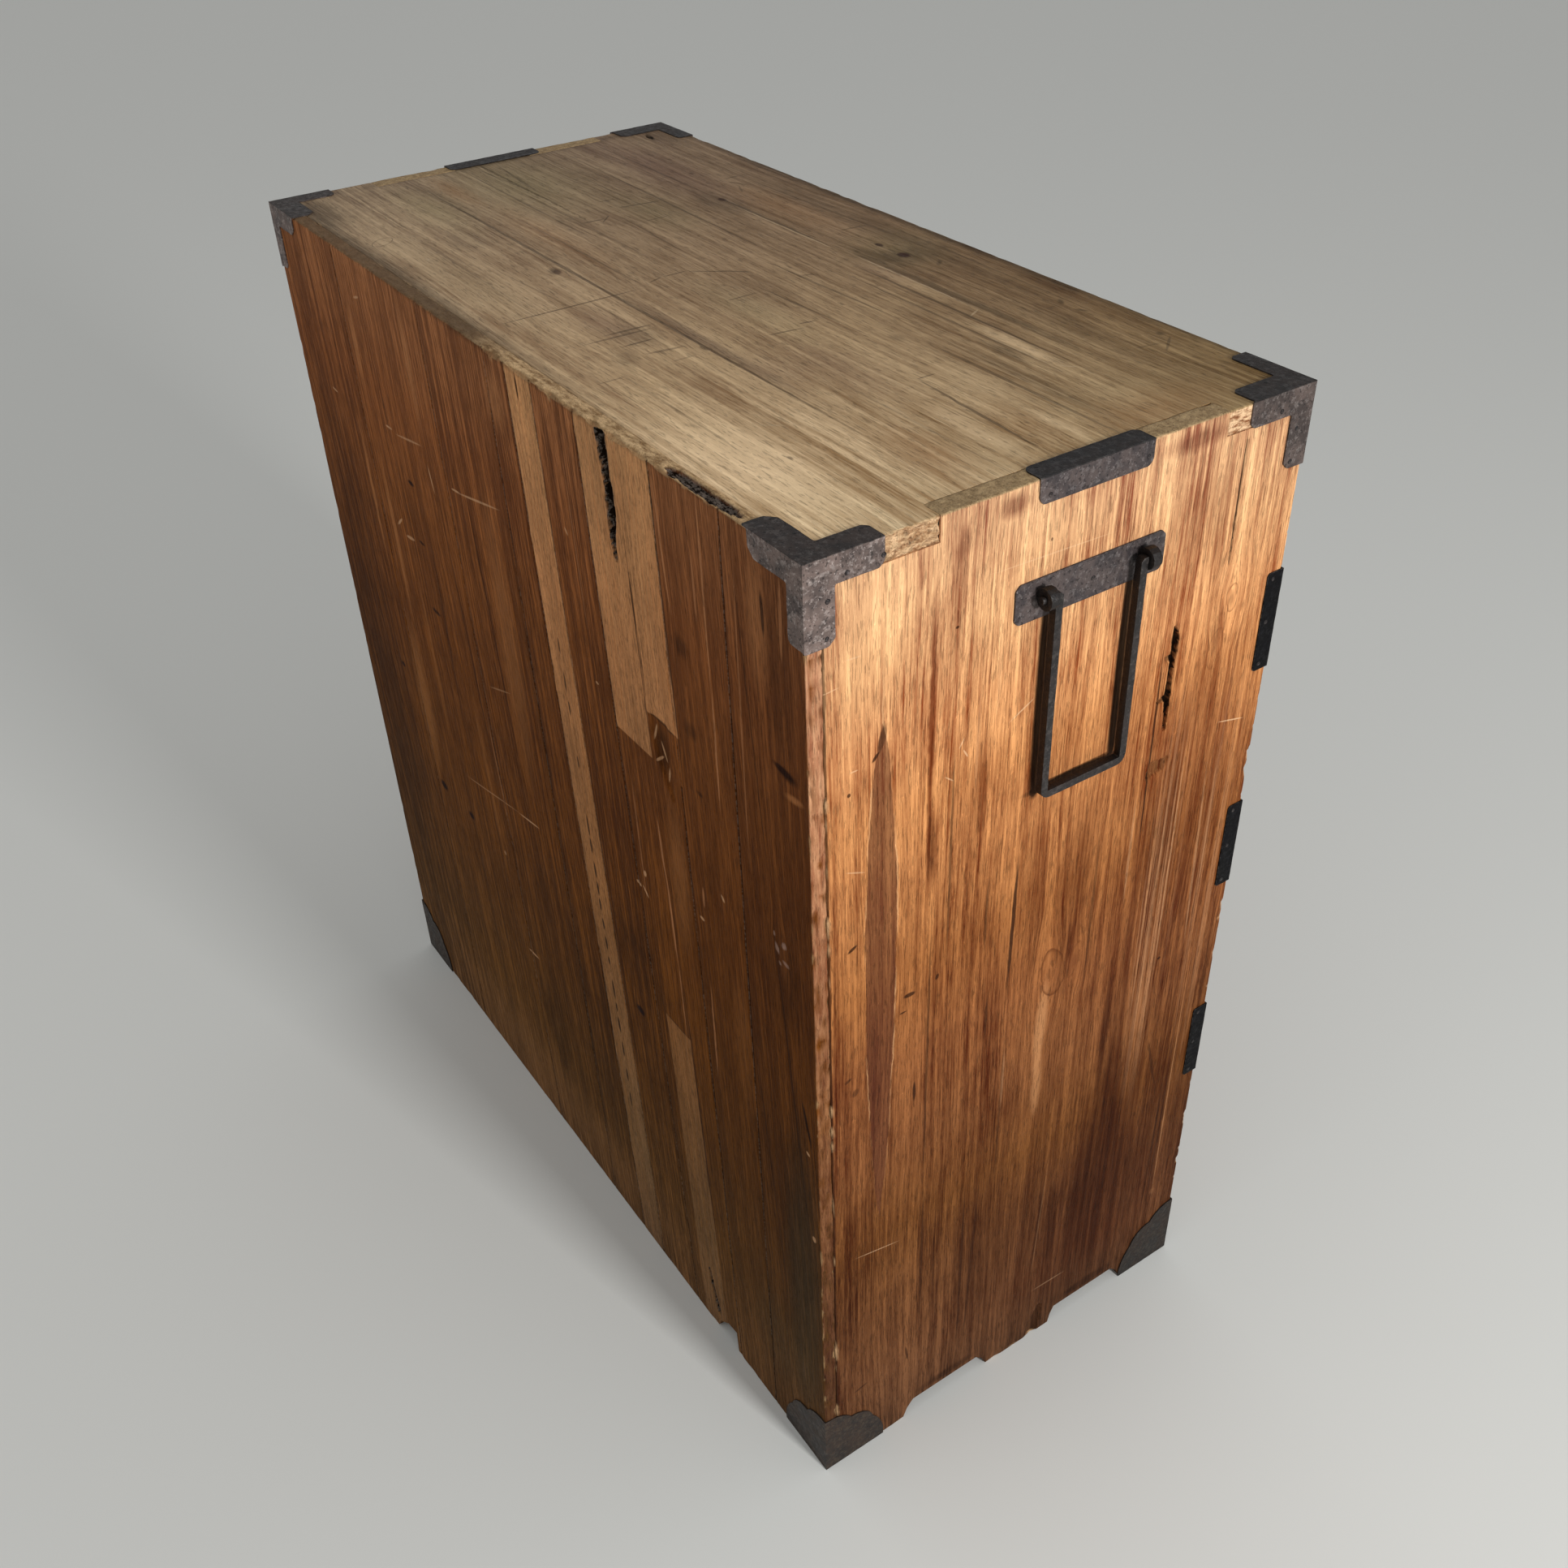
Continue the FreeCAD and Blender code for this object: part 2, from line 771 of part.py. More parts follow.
def frame_hinge_leaf(level):
    """The short leaf on the carcass edge with the outer two knuckles."""
    x, y = hinge_axis()
    spans = knuckle_spans(level)
    half = hinge_height / 2
    near = x + knuckle / 2 + hinge_slit
    pieces = [block(near, half_width - leaf_inset, front - iron, front, level - half,
                    level + half)]
    holes = []
    for low, high in (spans[0], spans[2]):
        barrel, hole = hinge_knuckle(low, high, hinge_pin)
        pieces += [barrel, block(x, near + leaf_inset, front - iron, front, low, high)]
        holes.append(hole)
    return cut_from(fused(pieces), holes)


def hinge_pin_solid(level):
    x, y = hinge_axis()
    start = FreeCAD.Vector(x, y, level - hinge_height / 2)
    return Part.makeCylinder(hinge_pin / 2, hinge_height, start, Z)


def safe_door_parts():
    """The door board with its two end battens, straps, lock, bolt and pull."""
    left, right, low, high = door_edges()
    middle = door_middle()
    pull_x = (left + right) / 2 + door_pull_shift
    pull_level = middle + pull_drop / 4
    key_x = left + lock_plate_width / 2 + door_lock_inset
    posts = pull_posts(pull_x, pull_level)
    far = front + front_board
    key = keyhole(key_x, middle)
    panel = block(left, right, front, far, low + door_batten, high - door_batten)
    boards = [cut_from(panel, posts + [key]),
              block(left, right, front, far, low, low + door_batten),
              block(left, right, front, far, high - door_batten, high)]
    edge = left + case_inset
    case = block(edge, edge + lock_case_height, far, far + lock_case_depth,
                 middle - lock_case_width / 2, middle + lock_case_width / 2)
    way = bolt_width / 2 + bolt_gap
    slot = block(edge, edge + bolt_length + bolt_gap, bolt_front() - bolt_gap,
                 bolt_front() + bolt_thickness + bolt_gap, middle - way, middle + way)
    bolt = block(edge, edge + bolt_length, bolt_front(), bolt_front() + bolt_thickness,
                 middle - bolt_width / 2, middle + bolt_width / 2)
    return {"safe_door": boards,
            "safe_door_straps": [door_hinge_strap(level) for level in hinge_levels],
            "safe_door_pull_mounts": [pull_plate(pull_x, pull_level)] + posts,
            "safe_door_pull": [pull(pull_x, pull_level)],
            "safe_door_lock": [lock_plate(key_x, middle), cut_from(case, [slot])],
            "safe_door_lock_bolt": [bolt]}


def main():
    os.makedirs("parts", exist_ok=True)
    both_sides = (-1, 1)
    export("top_board", [top_board()])
    export("side_board_left", [side_board(-1)])
    export("side_board_right", [side_board(1)])
    export("back_boards", back_boards())
    export("front_rails", front_rails())
    export("dust_boards", dust_boards())
    export("bottom_board", [bottom_board()])
    export("safe_partition", [safe_partition()])
    export("small_drawer_shelf", small_drawer_shelf())
    export("safe_shelf", [safe_shelf()])
    export("door_stops", door_stops())
    export("top_corner_irons", corner_irons(top_corner_iron, True))
    export("bottom_corner_irons", corner_irons(bottom_corner_iron, False))
    export("top_edge_straps", [top_edge_strap(side) for side in both_sides])
    export("front_edge_straps",
           [front_edge_strap(side, level) for side in both_sides for level in rail_levels])
    export("side_handle_plates", [handle_plate(side) for side in both_sides])
    export("side_handle_posts", handle_shanks(-1) + handle_shanks(1))
    export("side_handle_left", [side_handle(-1)])
    export("side_handle_right", [side_handle(1)])
    export("safe_hinge_leaves", [frame_hinge_leaf(level) for level in hinge_levels])
    export("safe_hinge_pins", [hinge_pin_solid(level) for level in hinge_levels])

    pair = (-pull_spacing / 2, pull_spacing / 2)
    names = ("pull_left", "pull_right")
    openings = {"top_drawer": (rail_top(0), top_underside),
                "middle_drawer": (rail_top(1), rail_bottom(0)),
                "lower_drawer": (rail_top(2), rail_bottom(1))}
    for name, (low, high) in openings.items():
        pieces = drawer(-inside_half, inside_half, low, high, pair, True)
        export_drawer(name, pieces, names)
    half_rail = rail_height / 2
    small = {"upper_small_drawer": (door_middle() + half_rail, rail_bottom(2)),
             "lower_small_drawer": (floor_level, door_middle() - half_rail)}
    for name, (low, high) in small.items():
        pieces = drawer(-inside_half, partition_faces()[0], low, high, (0,), False)
        export_drawer(name, pieces, ("pull",))
    for node, solids in safe_door_parts().items():
        export(node, solids)


main()
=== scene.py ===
"""A tall boarded ship chest with forged irons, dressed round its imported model."""
import json
import math
import bmesh
import bpy
from mathutils import Matrix, Vector, noise

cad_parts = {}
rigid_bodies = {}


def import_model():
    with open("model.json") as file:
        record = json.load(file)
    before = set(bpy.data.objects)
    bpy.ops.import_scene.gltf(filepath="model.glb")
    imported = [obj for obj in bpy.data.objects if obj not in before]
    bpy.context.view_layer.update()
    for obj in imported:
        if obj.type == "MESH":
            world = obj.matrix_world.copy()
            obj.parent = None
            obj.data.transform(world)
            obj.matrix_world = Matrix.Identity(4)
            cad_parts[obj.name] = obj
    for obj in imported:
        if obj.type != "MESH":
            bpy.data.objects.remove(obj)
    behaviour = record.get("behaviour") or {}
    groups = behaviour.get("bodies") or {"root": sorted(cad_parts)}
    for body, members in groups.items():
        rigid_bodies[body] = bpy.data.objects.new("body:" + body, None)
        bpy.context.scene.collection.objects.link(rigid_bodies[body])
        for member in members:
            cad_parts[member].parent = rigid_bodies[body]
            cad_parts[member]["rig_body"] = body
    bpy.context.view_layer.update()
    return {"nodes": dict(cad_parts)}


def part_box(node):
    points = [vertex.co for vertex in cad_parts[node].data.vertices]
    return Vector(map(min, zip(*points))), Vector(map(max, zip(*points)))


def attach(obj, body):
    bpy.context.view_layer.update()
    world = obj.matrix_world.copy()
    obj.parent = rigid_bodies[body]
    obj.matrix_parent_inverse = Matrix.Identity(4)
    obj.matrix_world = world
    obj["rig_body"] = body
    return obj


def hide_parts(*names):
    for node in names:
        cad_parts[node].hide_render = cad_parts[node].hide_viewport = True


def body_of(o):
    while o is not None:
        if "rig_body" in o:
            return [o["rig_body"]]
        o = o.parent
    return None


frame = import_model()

# ---- End boards ---------------------------------------------------------------
# Each end is planks of Japanese cedar glued edge to edge, planed, and worn by long
# handling. The boards grade from pale above to dark at the foot, partly a damp stain and
# partly painted falloff of the light. A darker sliver, a split beside the joint and two knots
# break the straight grain.


def linear(code):
    """An sRGB hex colour as the linear colour that the shaders work in."""
    levels = [int(code[i:i + 2], 16) / 255 for i in (1, 3, 5)]
    return tuple(v / 12.92 if v <= 0.04045 else ((v + 0.055) / 1.055) ** 2.4 for v in levels) + (1.0,)


def add(tree, kind, *values, stops=(), **settings):
    """Adds a node and returns its first output. Values fill its open inputs in order, a setting
    that starts with a capital is an input, any other an option, and stops grade a colour ramp."""
    node = tree.nodes.new("ShaderNode" + kind)
    named = {name.replace("_", " "): settings[name] for name in settings if name[0].isupper()}
    for name in settings:
        if not name[0].isupper():
            setattr(node, name, settings[name])
    pairs = list(zip([s for s in node.inputs if s.enabled], values))
    pairs += [(node.inputs[name], value) for name, value in named.items()]
    for socket, value in pairs:
        if isinstance(value, bpy.types.NodeSocket):
            tree.links.new(value, socket)
        elif value is not None:
            socket.default_value = value
    for index, (place, colour) in enumerate(stops):
        elements = node.color_ramp.elements
        stop = elements[index] if index < 2 else elements.new(place)
        stop.position = place
        stop.color = linear(colour) if isinstance(colour, str) else (colour, colour, colour, 1.0)
    return next((s for s in node.outputs if s.enabled), None)


def ramp(tree, value, start, end, low=0.0, high=1.0):
    """The value, graded from low at the start to high at the end."""
    return add(tree, "MapRange", value, start, end, low, high)


def times(tree, value, factor):
    """The value times a factor."""
    return add(tree, "Math", value, factor, operation="MULTIPLY")


def minus(tree, value, less):
    """The value less another."""
    return add(tree, "Math", value, less, operation="SUBTRACT")


def swayed(tree, base, value, share):
    """The base plus a share of the value."""
    return add(tree, "Math", value, share, base, operation="MULTIPLY_ADD")


def blend(tree, share, low, high):
    """Two colours, sockets or sRGB codes, mixed by a share."""
    low, high = (linear(tone) if isinstance(tone, str) else tone for tone in (low, high))
    return add(tree, "Mix", share, low, high, data_type="RGBA")


def new_finish(name):
    """A new material with an empty tree."""
    material = bpy.data.materials.new(name)
    material.use_nodes = True
    material.node_tree.nodes.clear()
    return material, material.node_tree


def millimetres(tree):
    """The object's own X, Y and Z in millimetres."""
    place = add(tree, "TexCoord").node.outputs["Object"]
    scaled = add(tree, "VectorMath", place, (1000.0, 1000.0, 1000.0), operation="MULTIPLY")
    return add(tree, "SeparateXYZ", scaled).node.outputs


def cloud(tree, axes, sizes, low, high, detail=2.0, rough=0.55):
    """A noise from 0 to 1 whose spots have these sizes in millimetres along the three axes."""
    place = add(tree, "CombineXYZ", *axes)
    scaled = add(tree, "VectorMath", place, [1 / size for size in sizes], operation="MULTIPLY")
    spots = add(tree, "TexNoise", Vector=scaled, Scale=1.0, Detail=detail, Roughness=rough)
    return ramp(tree, spots, low, high)


def shaken(tree, axes, value, spread, size):
    """The coordinate, moved to and fro by a noise so that the edges of marks are not clean."""
    shake = cloud(tree, axes, (size, size, size), 0.0, 1.0)
    return swayed(tree, minus(tree, value, spread / 2), shake, spread)


def oval(tree, flat, u, v, width, length, tilt=0.0):
    """A spot that fades from 1 at its middle, (u, v), to 0 at its half width and half length."""
    turned = add(tree, "Mapping", flat, (u, v, 0.0), (0.0, 0.0, math.radians(tilt)),
                 (width, length, 1.0), vector_type="TEXTURE")
    return add(tree, "TexGradient", turned, gradient_type="SPHERICAL").node.outputs["Fac"]


def marks(tree, across, along, places, hard=1.0):
    """A mask of oval marks, each (across, along, half width, half length) in millimetres, then its
    strength and its tilt in degrees, unless they are 1 and 0. Hard is how steep their edges are."""
    flat = add(tree, "CombineXYZ", across, along, 0.0)
    total = 0.0
    for place in places:
        strength, tilt = place[4:] + (1.0, 0.0)[len(place) - 4:]
        spot = oval(tree, flat, *place[:4], tilt)
        steep = add(tree, "Math", spot, hard, operation="MULTIPLY", use_clamp=True)
        total = swayed(tree, total, steep, strength)
    return add(tree, "Math", total, 1.0, operation="MINIMUM")


def swerve(tree, across, along, knots):
    """The across coordinate, squeezed at each knot (across, along, half width, half length) so
    that the grain flows round it."""
    squeeze = -0.85
    for knot in knots:
        spot = oval(tree, add(tree, "CombineXYZ", across, along, 0.0), *knot)
        pull = times(tree, minus(tree, across, knot[0]), spot)
        across = swayed(tree, across, pull, squeeze)
    return across


def softwood(tree, across, along, depth, band, line, meander, knots=()):
    """The figure of straight-grained softwood, each mask from 0, deep, to 1, pale: broad bands,
    latewood lines, fine fibres and blotches; then its dark pores and its pale flecks."""
    drift = cloud(tree, (across, along, depth), (90, 420, 90), 0.0, 1.0, 1.0)
    bent = swerve(tree, swayed(tree, across, drift, meander), along,
                  [(u + meander / 2, v, w, h) for u, v, w, h in knots])
    laid = (bent, along, depth)
    return {"bands": cloud(tree, laid, (band, 700, band), 0.38, 0.62, 3.0, 0.6),
            "streaks": cloud(tree, laid, (band / 3, 240, band / 3), 0.38, 0.62, 3.0, 0.65),
            "lines": cloud(tree, laid, (line, 520, line), 0.4, 0.6, 1.5),
            "fibres": cloud(tree, laid, (1.5, 50, 1.5), 0.38, 0.62, 4.0, 0.8),
            "blotches": cloud(tree, laid, (38, 110, 38), 0.34, 0.66, 4.0, 0.62),
            "pores": cloud(tree, laid, (1.0, 14, 1.0), 0.58, 0.66, 2.0),
            "glints": cloud(tree, laid, (1.3, 6, 1.3), 0.68, 0.72, 2.0)}


def weigh(tree, base, *shares):
    """A tone from masks: each share is a mask and how far it sways the tone about the base."""
    total = base - sum(sway for mask, sway in shares) / 2
    for mask, sway in shares:
        total = swayed(tree, total, mask, sway)
    return add(tree, "Math", total, 0.0, operation="ADD", use_clamp=True)


def toned(tree, figure, base, **sways):
    """A tone from a wood's figure: how far each of its masks sways the tone about the base."""
    return weigh(tree, base, *((figure[name], sway) for name, sway in sways.items()))


def tinted(tree, colour, mask, tint, strength=1.0):
    """The colour, mixed towards a tint where the mask is high."""
    return blend(tree, times(tree, mask, strength), colour, tint)


def shaded(tree, colour, mask, darkest):
    """The colour, multiplied down to a darkest share of itself where the mask is high."""
    level = ramp(tree, mask, 0.0, 1.0, 1.0, darkest)
    return add(tree, "VectorMath", colour, add(tree, "CombineXYZ", level, level, level),
               operation="MULTIPLY")


def surfaced(tree, colour, rough, sheen, height=None, relief=0.0, depth=0.0, metal=0.0):
    """Ends a material: its colour, roughness and sheen, and a relief as deep as depth, in metres."""
    bump = None if height is None else add(tree, "Bump", Height=height, Strength=relief, Distance=depth)
    shader = add(tree, "BsdfPrincipled", Base_Color=colour, Metallic=metal, Roughness=rough, Normal=bump,
                 Specular_IOR_Level=sheen)
    add(tree, "OutputMaterial", Surface=shader)


def wood_shader(tree, wood, figure, dirt_and_shade, gloss, relief, sheen):
    """Finishes a wood: its pores, the dirt in its hollows, a dull waxed sheen and raised grain."""
    wood = shaded(tree, wood, figure["pores"], 0.66)
    wood = shaded(tree, wood, figure["glints"], 1.35)
    wood = tinted(tree, wood, dirt_and_shade, "#060403", 0.98)
    height = toned(tree, figure, 0.5, lines=0.4, streaks=0.3, fibres=0.35, pores=-0.5)
    rough = ramp(tree, figure["fibres"], 0.0, 1.0, gloss + 0.14, gloss)
    surfaced(tree, wood, rough, sheen, height, relief, 0.001)


def mesh_masks(tree, *names):
    """The mesh's own masks by name, such as dirt in hollows, grime with painted shade on irons, and bare
    wood on chipped arrises.
    """
    return [add(tree, "Attribute", attribute_name=name).node.outputs["Fac"] for name in names]


def graded(tree, place, *grades):
    """A board's deep tone and its pale tone, as ramps of (place, deep, pale) along it."""
    return [add(tree, "ValToRGB", place, stops=[(grade[0], grade[side]) for grade in grades])
            for side in (1, 2)]


# The carcass' height, and how far each end's outer face is from the middle, in millimetres.
full_height = 970.0
end_face = 454.5


def slivered(tree, wood, axes, across, along):
    """Darkens a long spindle of the wood, as of another piece let in, with a pale rim in places."""
    foot, tip, middle, half_width = 326.0, 834.0, 166.4, 14.4
    share = ramp(tree, along, foot, tip)
    swell = add(tree, "ValToRGB", share, stops=[
        (0.0, 0.0), (1.0, 0.0), (0.07, 0.28), (0.2, 0.6), (0.4, 0.86), (0.65, 1.0), (0.79, 0.84),
        (0.93, 0.5), (0.975, 0.22)])
    v = shaken(tree, axes, shaken(tree, axes, across, 4.0, 40.0), 1.8, 9.0)
    off = add(tree, "Math", minus(tree, v, middle), operation="ABSOLUTE")
    inside = minus(tree, times(tree, swell, half_width), off)
    spindle = ramp(tree, inside, 0.0, 0.7)
    rim = times(tree, ramp(tree, inside, -1.4, -0.3), cloud(tree, axes, (9, 9, 40), 0.42, 0.58))
    rim = times(tree, rim, minus(tree, 1.0, spindle))
    wood = tinted(tree, wood, times(tree, rim, ramp(tree, share, 0.06, 0.5)), "#E0AC7A", 0.65)
    return tinted(tree, shaded(tree, wood, spindle, 0.54), spindle, "#7A4632", 0.3)


def cedar_end():
    """Sugi, planed by hand, oiled and handled: soft pale earlywood between brown latewood."""
    material, tree = new_finish("planed_cedar_end")
    dirt_and_shade, raw = mesh_masks(tree, "dirt_and_shade", "raw")
    axes = millimetres(tree)
    depth, across, along = axes
    knots = [(-160, 813, 26, 55), (-4, 511, 26, 80), (-34, 512, 22, 48)]
    figure = softwood(tree, across, along, depth, 19.0, 3.4, 16.0, knots)
    height = ramp(tree, along, 0.0, full_height)
    # The grade from deep at the foot to pale at the top is partly the boards' own stain and partly painted
    # falloff of the light down the end.
    deep, pale = graded(
        tree, height, (0.0, "#2F1B0F", "#704A30"), (1.0, "#854532", "#F3C291"),
        (0.1, "#3F1C0A", "#7A5032"), (0.21, "#381706", "#7C4F2D"), (0.31, "#3F1904", "#7F5028"),
        (0.42, "#481C06", "#8E5A34"), (0.52, "#4C1B06", "#996037"), (0.62, "#592307", "#B07240"),
        (0.72, "#68290A", "#D08D56"), (0.78, "#76330E", "#DE9A60"), (0.84, "#843A16", "#ECAB72"),
        (0.91, "#884426", "#F8C088"))
    tone = toned(tree, figure, 0.57, bands=0.26, streaks=0.32, lines=0.3, fibres=0.52, blotches=0.34)
    wood = blend(tree, tone, deep, pale)
    u = shaken(tree, axes, across, 4.0, 14.0)
    stains = marks(tree, u, along, [
        (125, 830, 4, 130, 0.9), (122, 708, 7, 50), (104, 905, 9, 70, 0.6), (78, 745, 10, 64, 0.65),
        (62, 958, 18, 11, 0.8), (103, 945, 7, 16, 0.6), (-102, 957, 40, 10, 0.8), (-135, 895, 14, 60, 0.6),
        (-114, 900, 16, 60, 0.5), (-18, 820, 4, 28, 0.5), (16, 605, 20, 90, 0.35),
        (-25, 618, 22, 100, 0.45), (-120, 640, 24, 140, 0.4), (-27, 536, 12, 26, 0.4), (-81, 405, 5.5, 100),
        (-95, 420, 14, 160, 0.5), (-100, 225, 34, 170, 0.75), (-88, 245, 8, 120, 0.6),
        (-145, 600, 70, 190, 0.5), (-41, 165, 6, 75, 0.8), (-22, 170, 3, 100, 0.6, 3),
        (105, 230, 4, 65, 0.7), (-204, 400, 4, 100, 0.9), (-204, 640, 7, 220, 0.3),
        (-30, 140, 150, 170, 0.45), (-60, 590, 60, 150, 0.2), (55, 190, 45, 150, 0.3),
        (112, 600, 6, 90, 0.3), (-150, 740, 40, 60, 0.3), (28, 330, 200, 90, 0.15), (82, 31, 42, 8, 0.9),
        (-100, 31, 42, 8, 0.9), (-110, 160, 90, 190, 0.4)], 1.6)
    streaky = times(tree, stains, toned(tree, figure, 0.8, streaks=-0.4))
    wood = tinted(tree, wood, streaky, shaded(tree, deep, stains, 0.62), 0.95)
    damp = times(tree, ramp(tree, u, 60.0, -100.0), ramp(tree, along, 400.0, 230.0))
    wood = tinted(tree, wood, damp, shaded(tree, deep, figure["streaks"], 1.5), 0.42)
    glows = marks(tree, u, along, [
        (-8, 445, 8, 70), (-8, 390, 7, 50, 0.9), (95, 120, 4, 90, 0.8), (207, 150, 4, 60, 0.6),
        (197, 640, 9, 260, 0.4), (139, 560, 10, 240, 0.4), (47, 585, 7, 75, 0.8), (55, 880, 5, 80, 0.6),
        (165, 150, 34, 130, 0.4), (0, 925, 40, 22, 0.6), (172, 900, 30, 60, 0.4), (34, 150, 2.5, 60, 0.5),
        (-181.5, 218, 3.4, 12), (-181.5, 113, 4.6, 6), (15, 780, 12, 70, 0.4), (-88, 900, 6, 60, 0.5),
        (150, 740, 9, 60, 0.5), (190, 860, 14, 70, 0.5)], 1.6)
    lift = blend(tree, 0.6, wood, pale)
    wood = tinted(tree, wood, glows, lift)
    tail = marks(tree, shaken(tree, axes, across, 3.0, 20.0), along, [
        (-2, 455, 8, 62, 1.0, 2), (-3, 385, 7, 48, 0.8)], 1.8)
    wood = tinted(tree, wood, tail, "#C48D5E", 0.5)
    ridged = marks(tree, across, along, [
        (-124, 530, 26, 260, 1.8), (-185, 560, 22, 300, 1.2), (-112, 900, 28, 80, 1.2)])
    ridges = cloud(tree, (across, along, depth), (2.4, 800, 2.4), 0.5, 0.62)
    wood = tinted(tree, wood, times(tree, ridges, ridged), "#C18C62", 0.45)
    fine = shaken(tree, axes, across, 1.6, 40.0)
    pale_lines = marks(tree, fine, along, [
        (-113, 530, 1.2, 130, 0.8, 0.5), (-121, 520, 1.2, 140, 0.69, 0.5), (-134.5, 560, 1.4, 130),
        (-166, 560, 1.7, 110, 1.0, -2), (-175, 590, 1.2, 80, 0.69, -1), (-84.5, 605, 1.8, 60),
        (83.5, 785, 1.6, 48, 0.8), (67, 840, 1.6, 48, 0.8), (37, 415, 1.6, 38, 0.92),
        (-181, 250, 1, 180, 0.69), (-24, 180, 1.2, 90, 0.35, 3)], 3.0)
    wood = tinted(tree, wood, pale_lines, "#CC986C", 0.34)
    wood = slivered(tree, wood, axes, across, along)
    slits = marks(tree, shaken(tree, axes, across, 1.6, 18.0), along, [
        (213.6, 480, 2.2, 1500, 0.9), (-151, 897, 1.5, 52), (-94, 700, 1.2, 110),
        (120, 490, 1.5, 170, 0.69), (104, 690, 1.5, 110, 0.69), (38, 590, 2.2, 75, 1.0, 1),
        (38, 380, 1.4, 100, 0.57), (60, 500, 1.9, 26, 0.69), (66, 615, 1.6, 40, 0.69),
        (-48, 560, 1.6, 95, 0.57), (119, 240, 1.6, 100, 0.69), (72, 180, 1.9, 130, 0.69),
        (60, 180, 2.2, 120, 0.57, 2), (-170, 190, 1.6, 115, 0.69, 1), (-176, 200, 1.4, 130, 0.57, 1),
        (192, 647, 5.5, 1.8, 1.0, -28), (139, 572, 6.5, 2.6, 1.0, 4), (145, 556.5, 4, 1.1, 0.92),
        (132, 461, 1.8, 13), (112.5, 576, 2, 3.5, 0.92, 20), (197, 513, 4, 2, 0.69, -25),
        (190, 496, 3.4, 5, 0.57, 30), (-139, 458, 2.4, 1.8), (166.5, 821, 3.5, 12, 0.69, 14),
        (172, 808, 1.6, 5, 1.0, 40), (106, 884, 1.8, 1.3), (28, 923, 1.2, 1.6, 0.8), (194, 786, 1.8, 2),
        (186, 97, 9, 1.6, 0.69, -14), (133, 105, 1.6, 13, 0.8, -8), (-150, 320, 1.9, 40, 0.57, -14)], 3.0)
    wood = tinted(tree, wood, slits, "#2A140B", 0.85)
    rings = marks(tree, shaken(tree, axes, across, 3.0, 8.0), along, [
        (-161, 812, 3.4, 9, 0.8), (-150, 775, 4, 12, 0.5, 10), (-150, 790, 7, 26, 0.4),
        (-33, 512, 7, 14, 0.8, 10), (-28, 530, 5, 10, 0.6, -10), (-40, 578, 5, 16, 0.5, 20)], 1.6)
    wood = tinted(tree, wood, rings, "#5E3018", 0.75)
    scratches = marks(tree, across, along, [
        (44, 794, 14, 0.8, 1.0, -28), (-183, 693, 17, 0.8, 1.0, 14), (168, 286, 26, 0.8, 0.5, 13),
        (25, 912, 60, 0.7, 0.57, 2), (94, 778, 5, 0.8, 0.92, 60), (98, 788, 5, 0.7, 0.92, -60),
        (108, 762, 6, 0.7, 0.69, 40), (190, 892, 7, 0.8, 0.8, 4), (190, 804, 4, 0.8, 0.8),
        (208, 874, 8, 0.6, 0.69, -4), (-45, 73, 24, 1.1, 0.25, 3), (189, 717, 10, 0.8, 0.57, 24)], 3.0)
    wood = tinted(tree, wood, scratches, "#F0C498", 0.6)
    w = shaken(tree, axes, shaken(tree, axes, across, 9.0, 30.0), 2.5, 8.0)
    flat = add(tree, "CombineXYZ", w, along, 0.0)
    for *spot, strength in ((-10, 513, 13, 29, -10, 0.8), (-33, 514, 6.5, 20, 10, 0.4),
                            (-161, 813, 6, 13, 0, 0.5), (-150, 772, 7, 19, 8, 0.35)):
        drop = oval(tree, flat, *spot)
        rim = add(tree, "ValToRGB", drop, stops=[
            (0.0, 0.0), (1.0, 0.0), (0.06, 1.0), (0.2, 0.2), (0.3, 0.0)])
        wood = tinted(tree, wood, rim, "#5F3318", strength)
        wood = tinted(tree, wood, ramp(tree, drop, 0.25, 0.6), lift, 0.5 * strength)
    crown = ramp(tree, along, 968.6, 969.6)
    grain_ends = cloud(tree, axes, (4, 4, 4), 0.3, 0.7, 4.0, 0.7)
    rubbed = blend(tree, grain_ends, "#836B4C", "#C0A47B")
    wood = tinted(tree, wood, crown, rubbed)
    # Painted shadow: a dark band on the board beside each leg of the hanging bail and under its bar, where
    # the bail's shadow falls.
    painted_bail_shadow = marks(tree, shaken(tree, axes, across, 1.0, 12.0), along, [
        (27, 800, 6, 135), (-50, 800, 6, 135), (-11, 715, 54, 5)], 3.0)
    bay = times(tree, ramp(tree, along, 870.0, 866.0), ramp(tree, along, 707.0, 711.0))
    wood = tinted(tree, wood, times(tree, painted_bail_shadow, bay), "#120A06", 0.9)
    wood = tinted(tree, wood, raw, "#D9B083", 0.75)
    wood_shader(tree, wood, figure, dirt_and_shade, 0.45, 0.75, 0.03)
    return material


def merged(node):
    """The CAD node's solids as one bmesh, their loose triangles joined into whole faces."""
    bm = bmesh.new()
    bm.from_mesh(frame["nodes"][node].data)
    bmesh.ops.remove_doubles(bm, verts=bm.verts, dist=0.00001)
    bmesh.ops.dissolve_limit(bm, angle_limit=math.radians(1), verts=bm.verts, edges=bm.edges)
    return bm


def whole(faces):
    """Faces with their edges and corners, as the cutting operator takes them."""
    return list(dict.fromkeys(part for face in faces for part in (face, *face.edges, *face.verts)))


def cut_grid(bm, cuts, inside=None):
    """Cuts faces square to the axes. Cuts pair an axis with places in millimetres, and inside
    takes a face's middle and its normal and keeps the cuts to a part of the board."""
    part = whole(f for f in bm.faces if inside is None or inside(f.calc_center_median() * 1000, f.normal))
    for axis, places in cuts:
        square = Vector([1.0 if i == axis else 0.0 for i in range(3)])
        for place in places:
            part = bmesh.ops.bisect_plane(bm, geom=part, dist=0.000001,
                                          plane_co=square * place * 0.001, plane_no=square)["geom"]


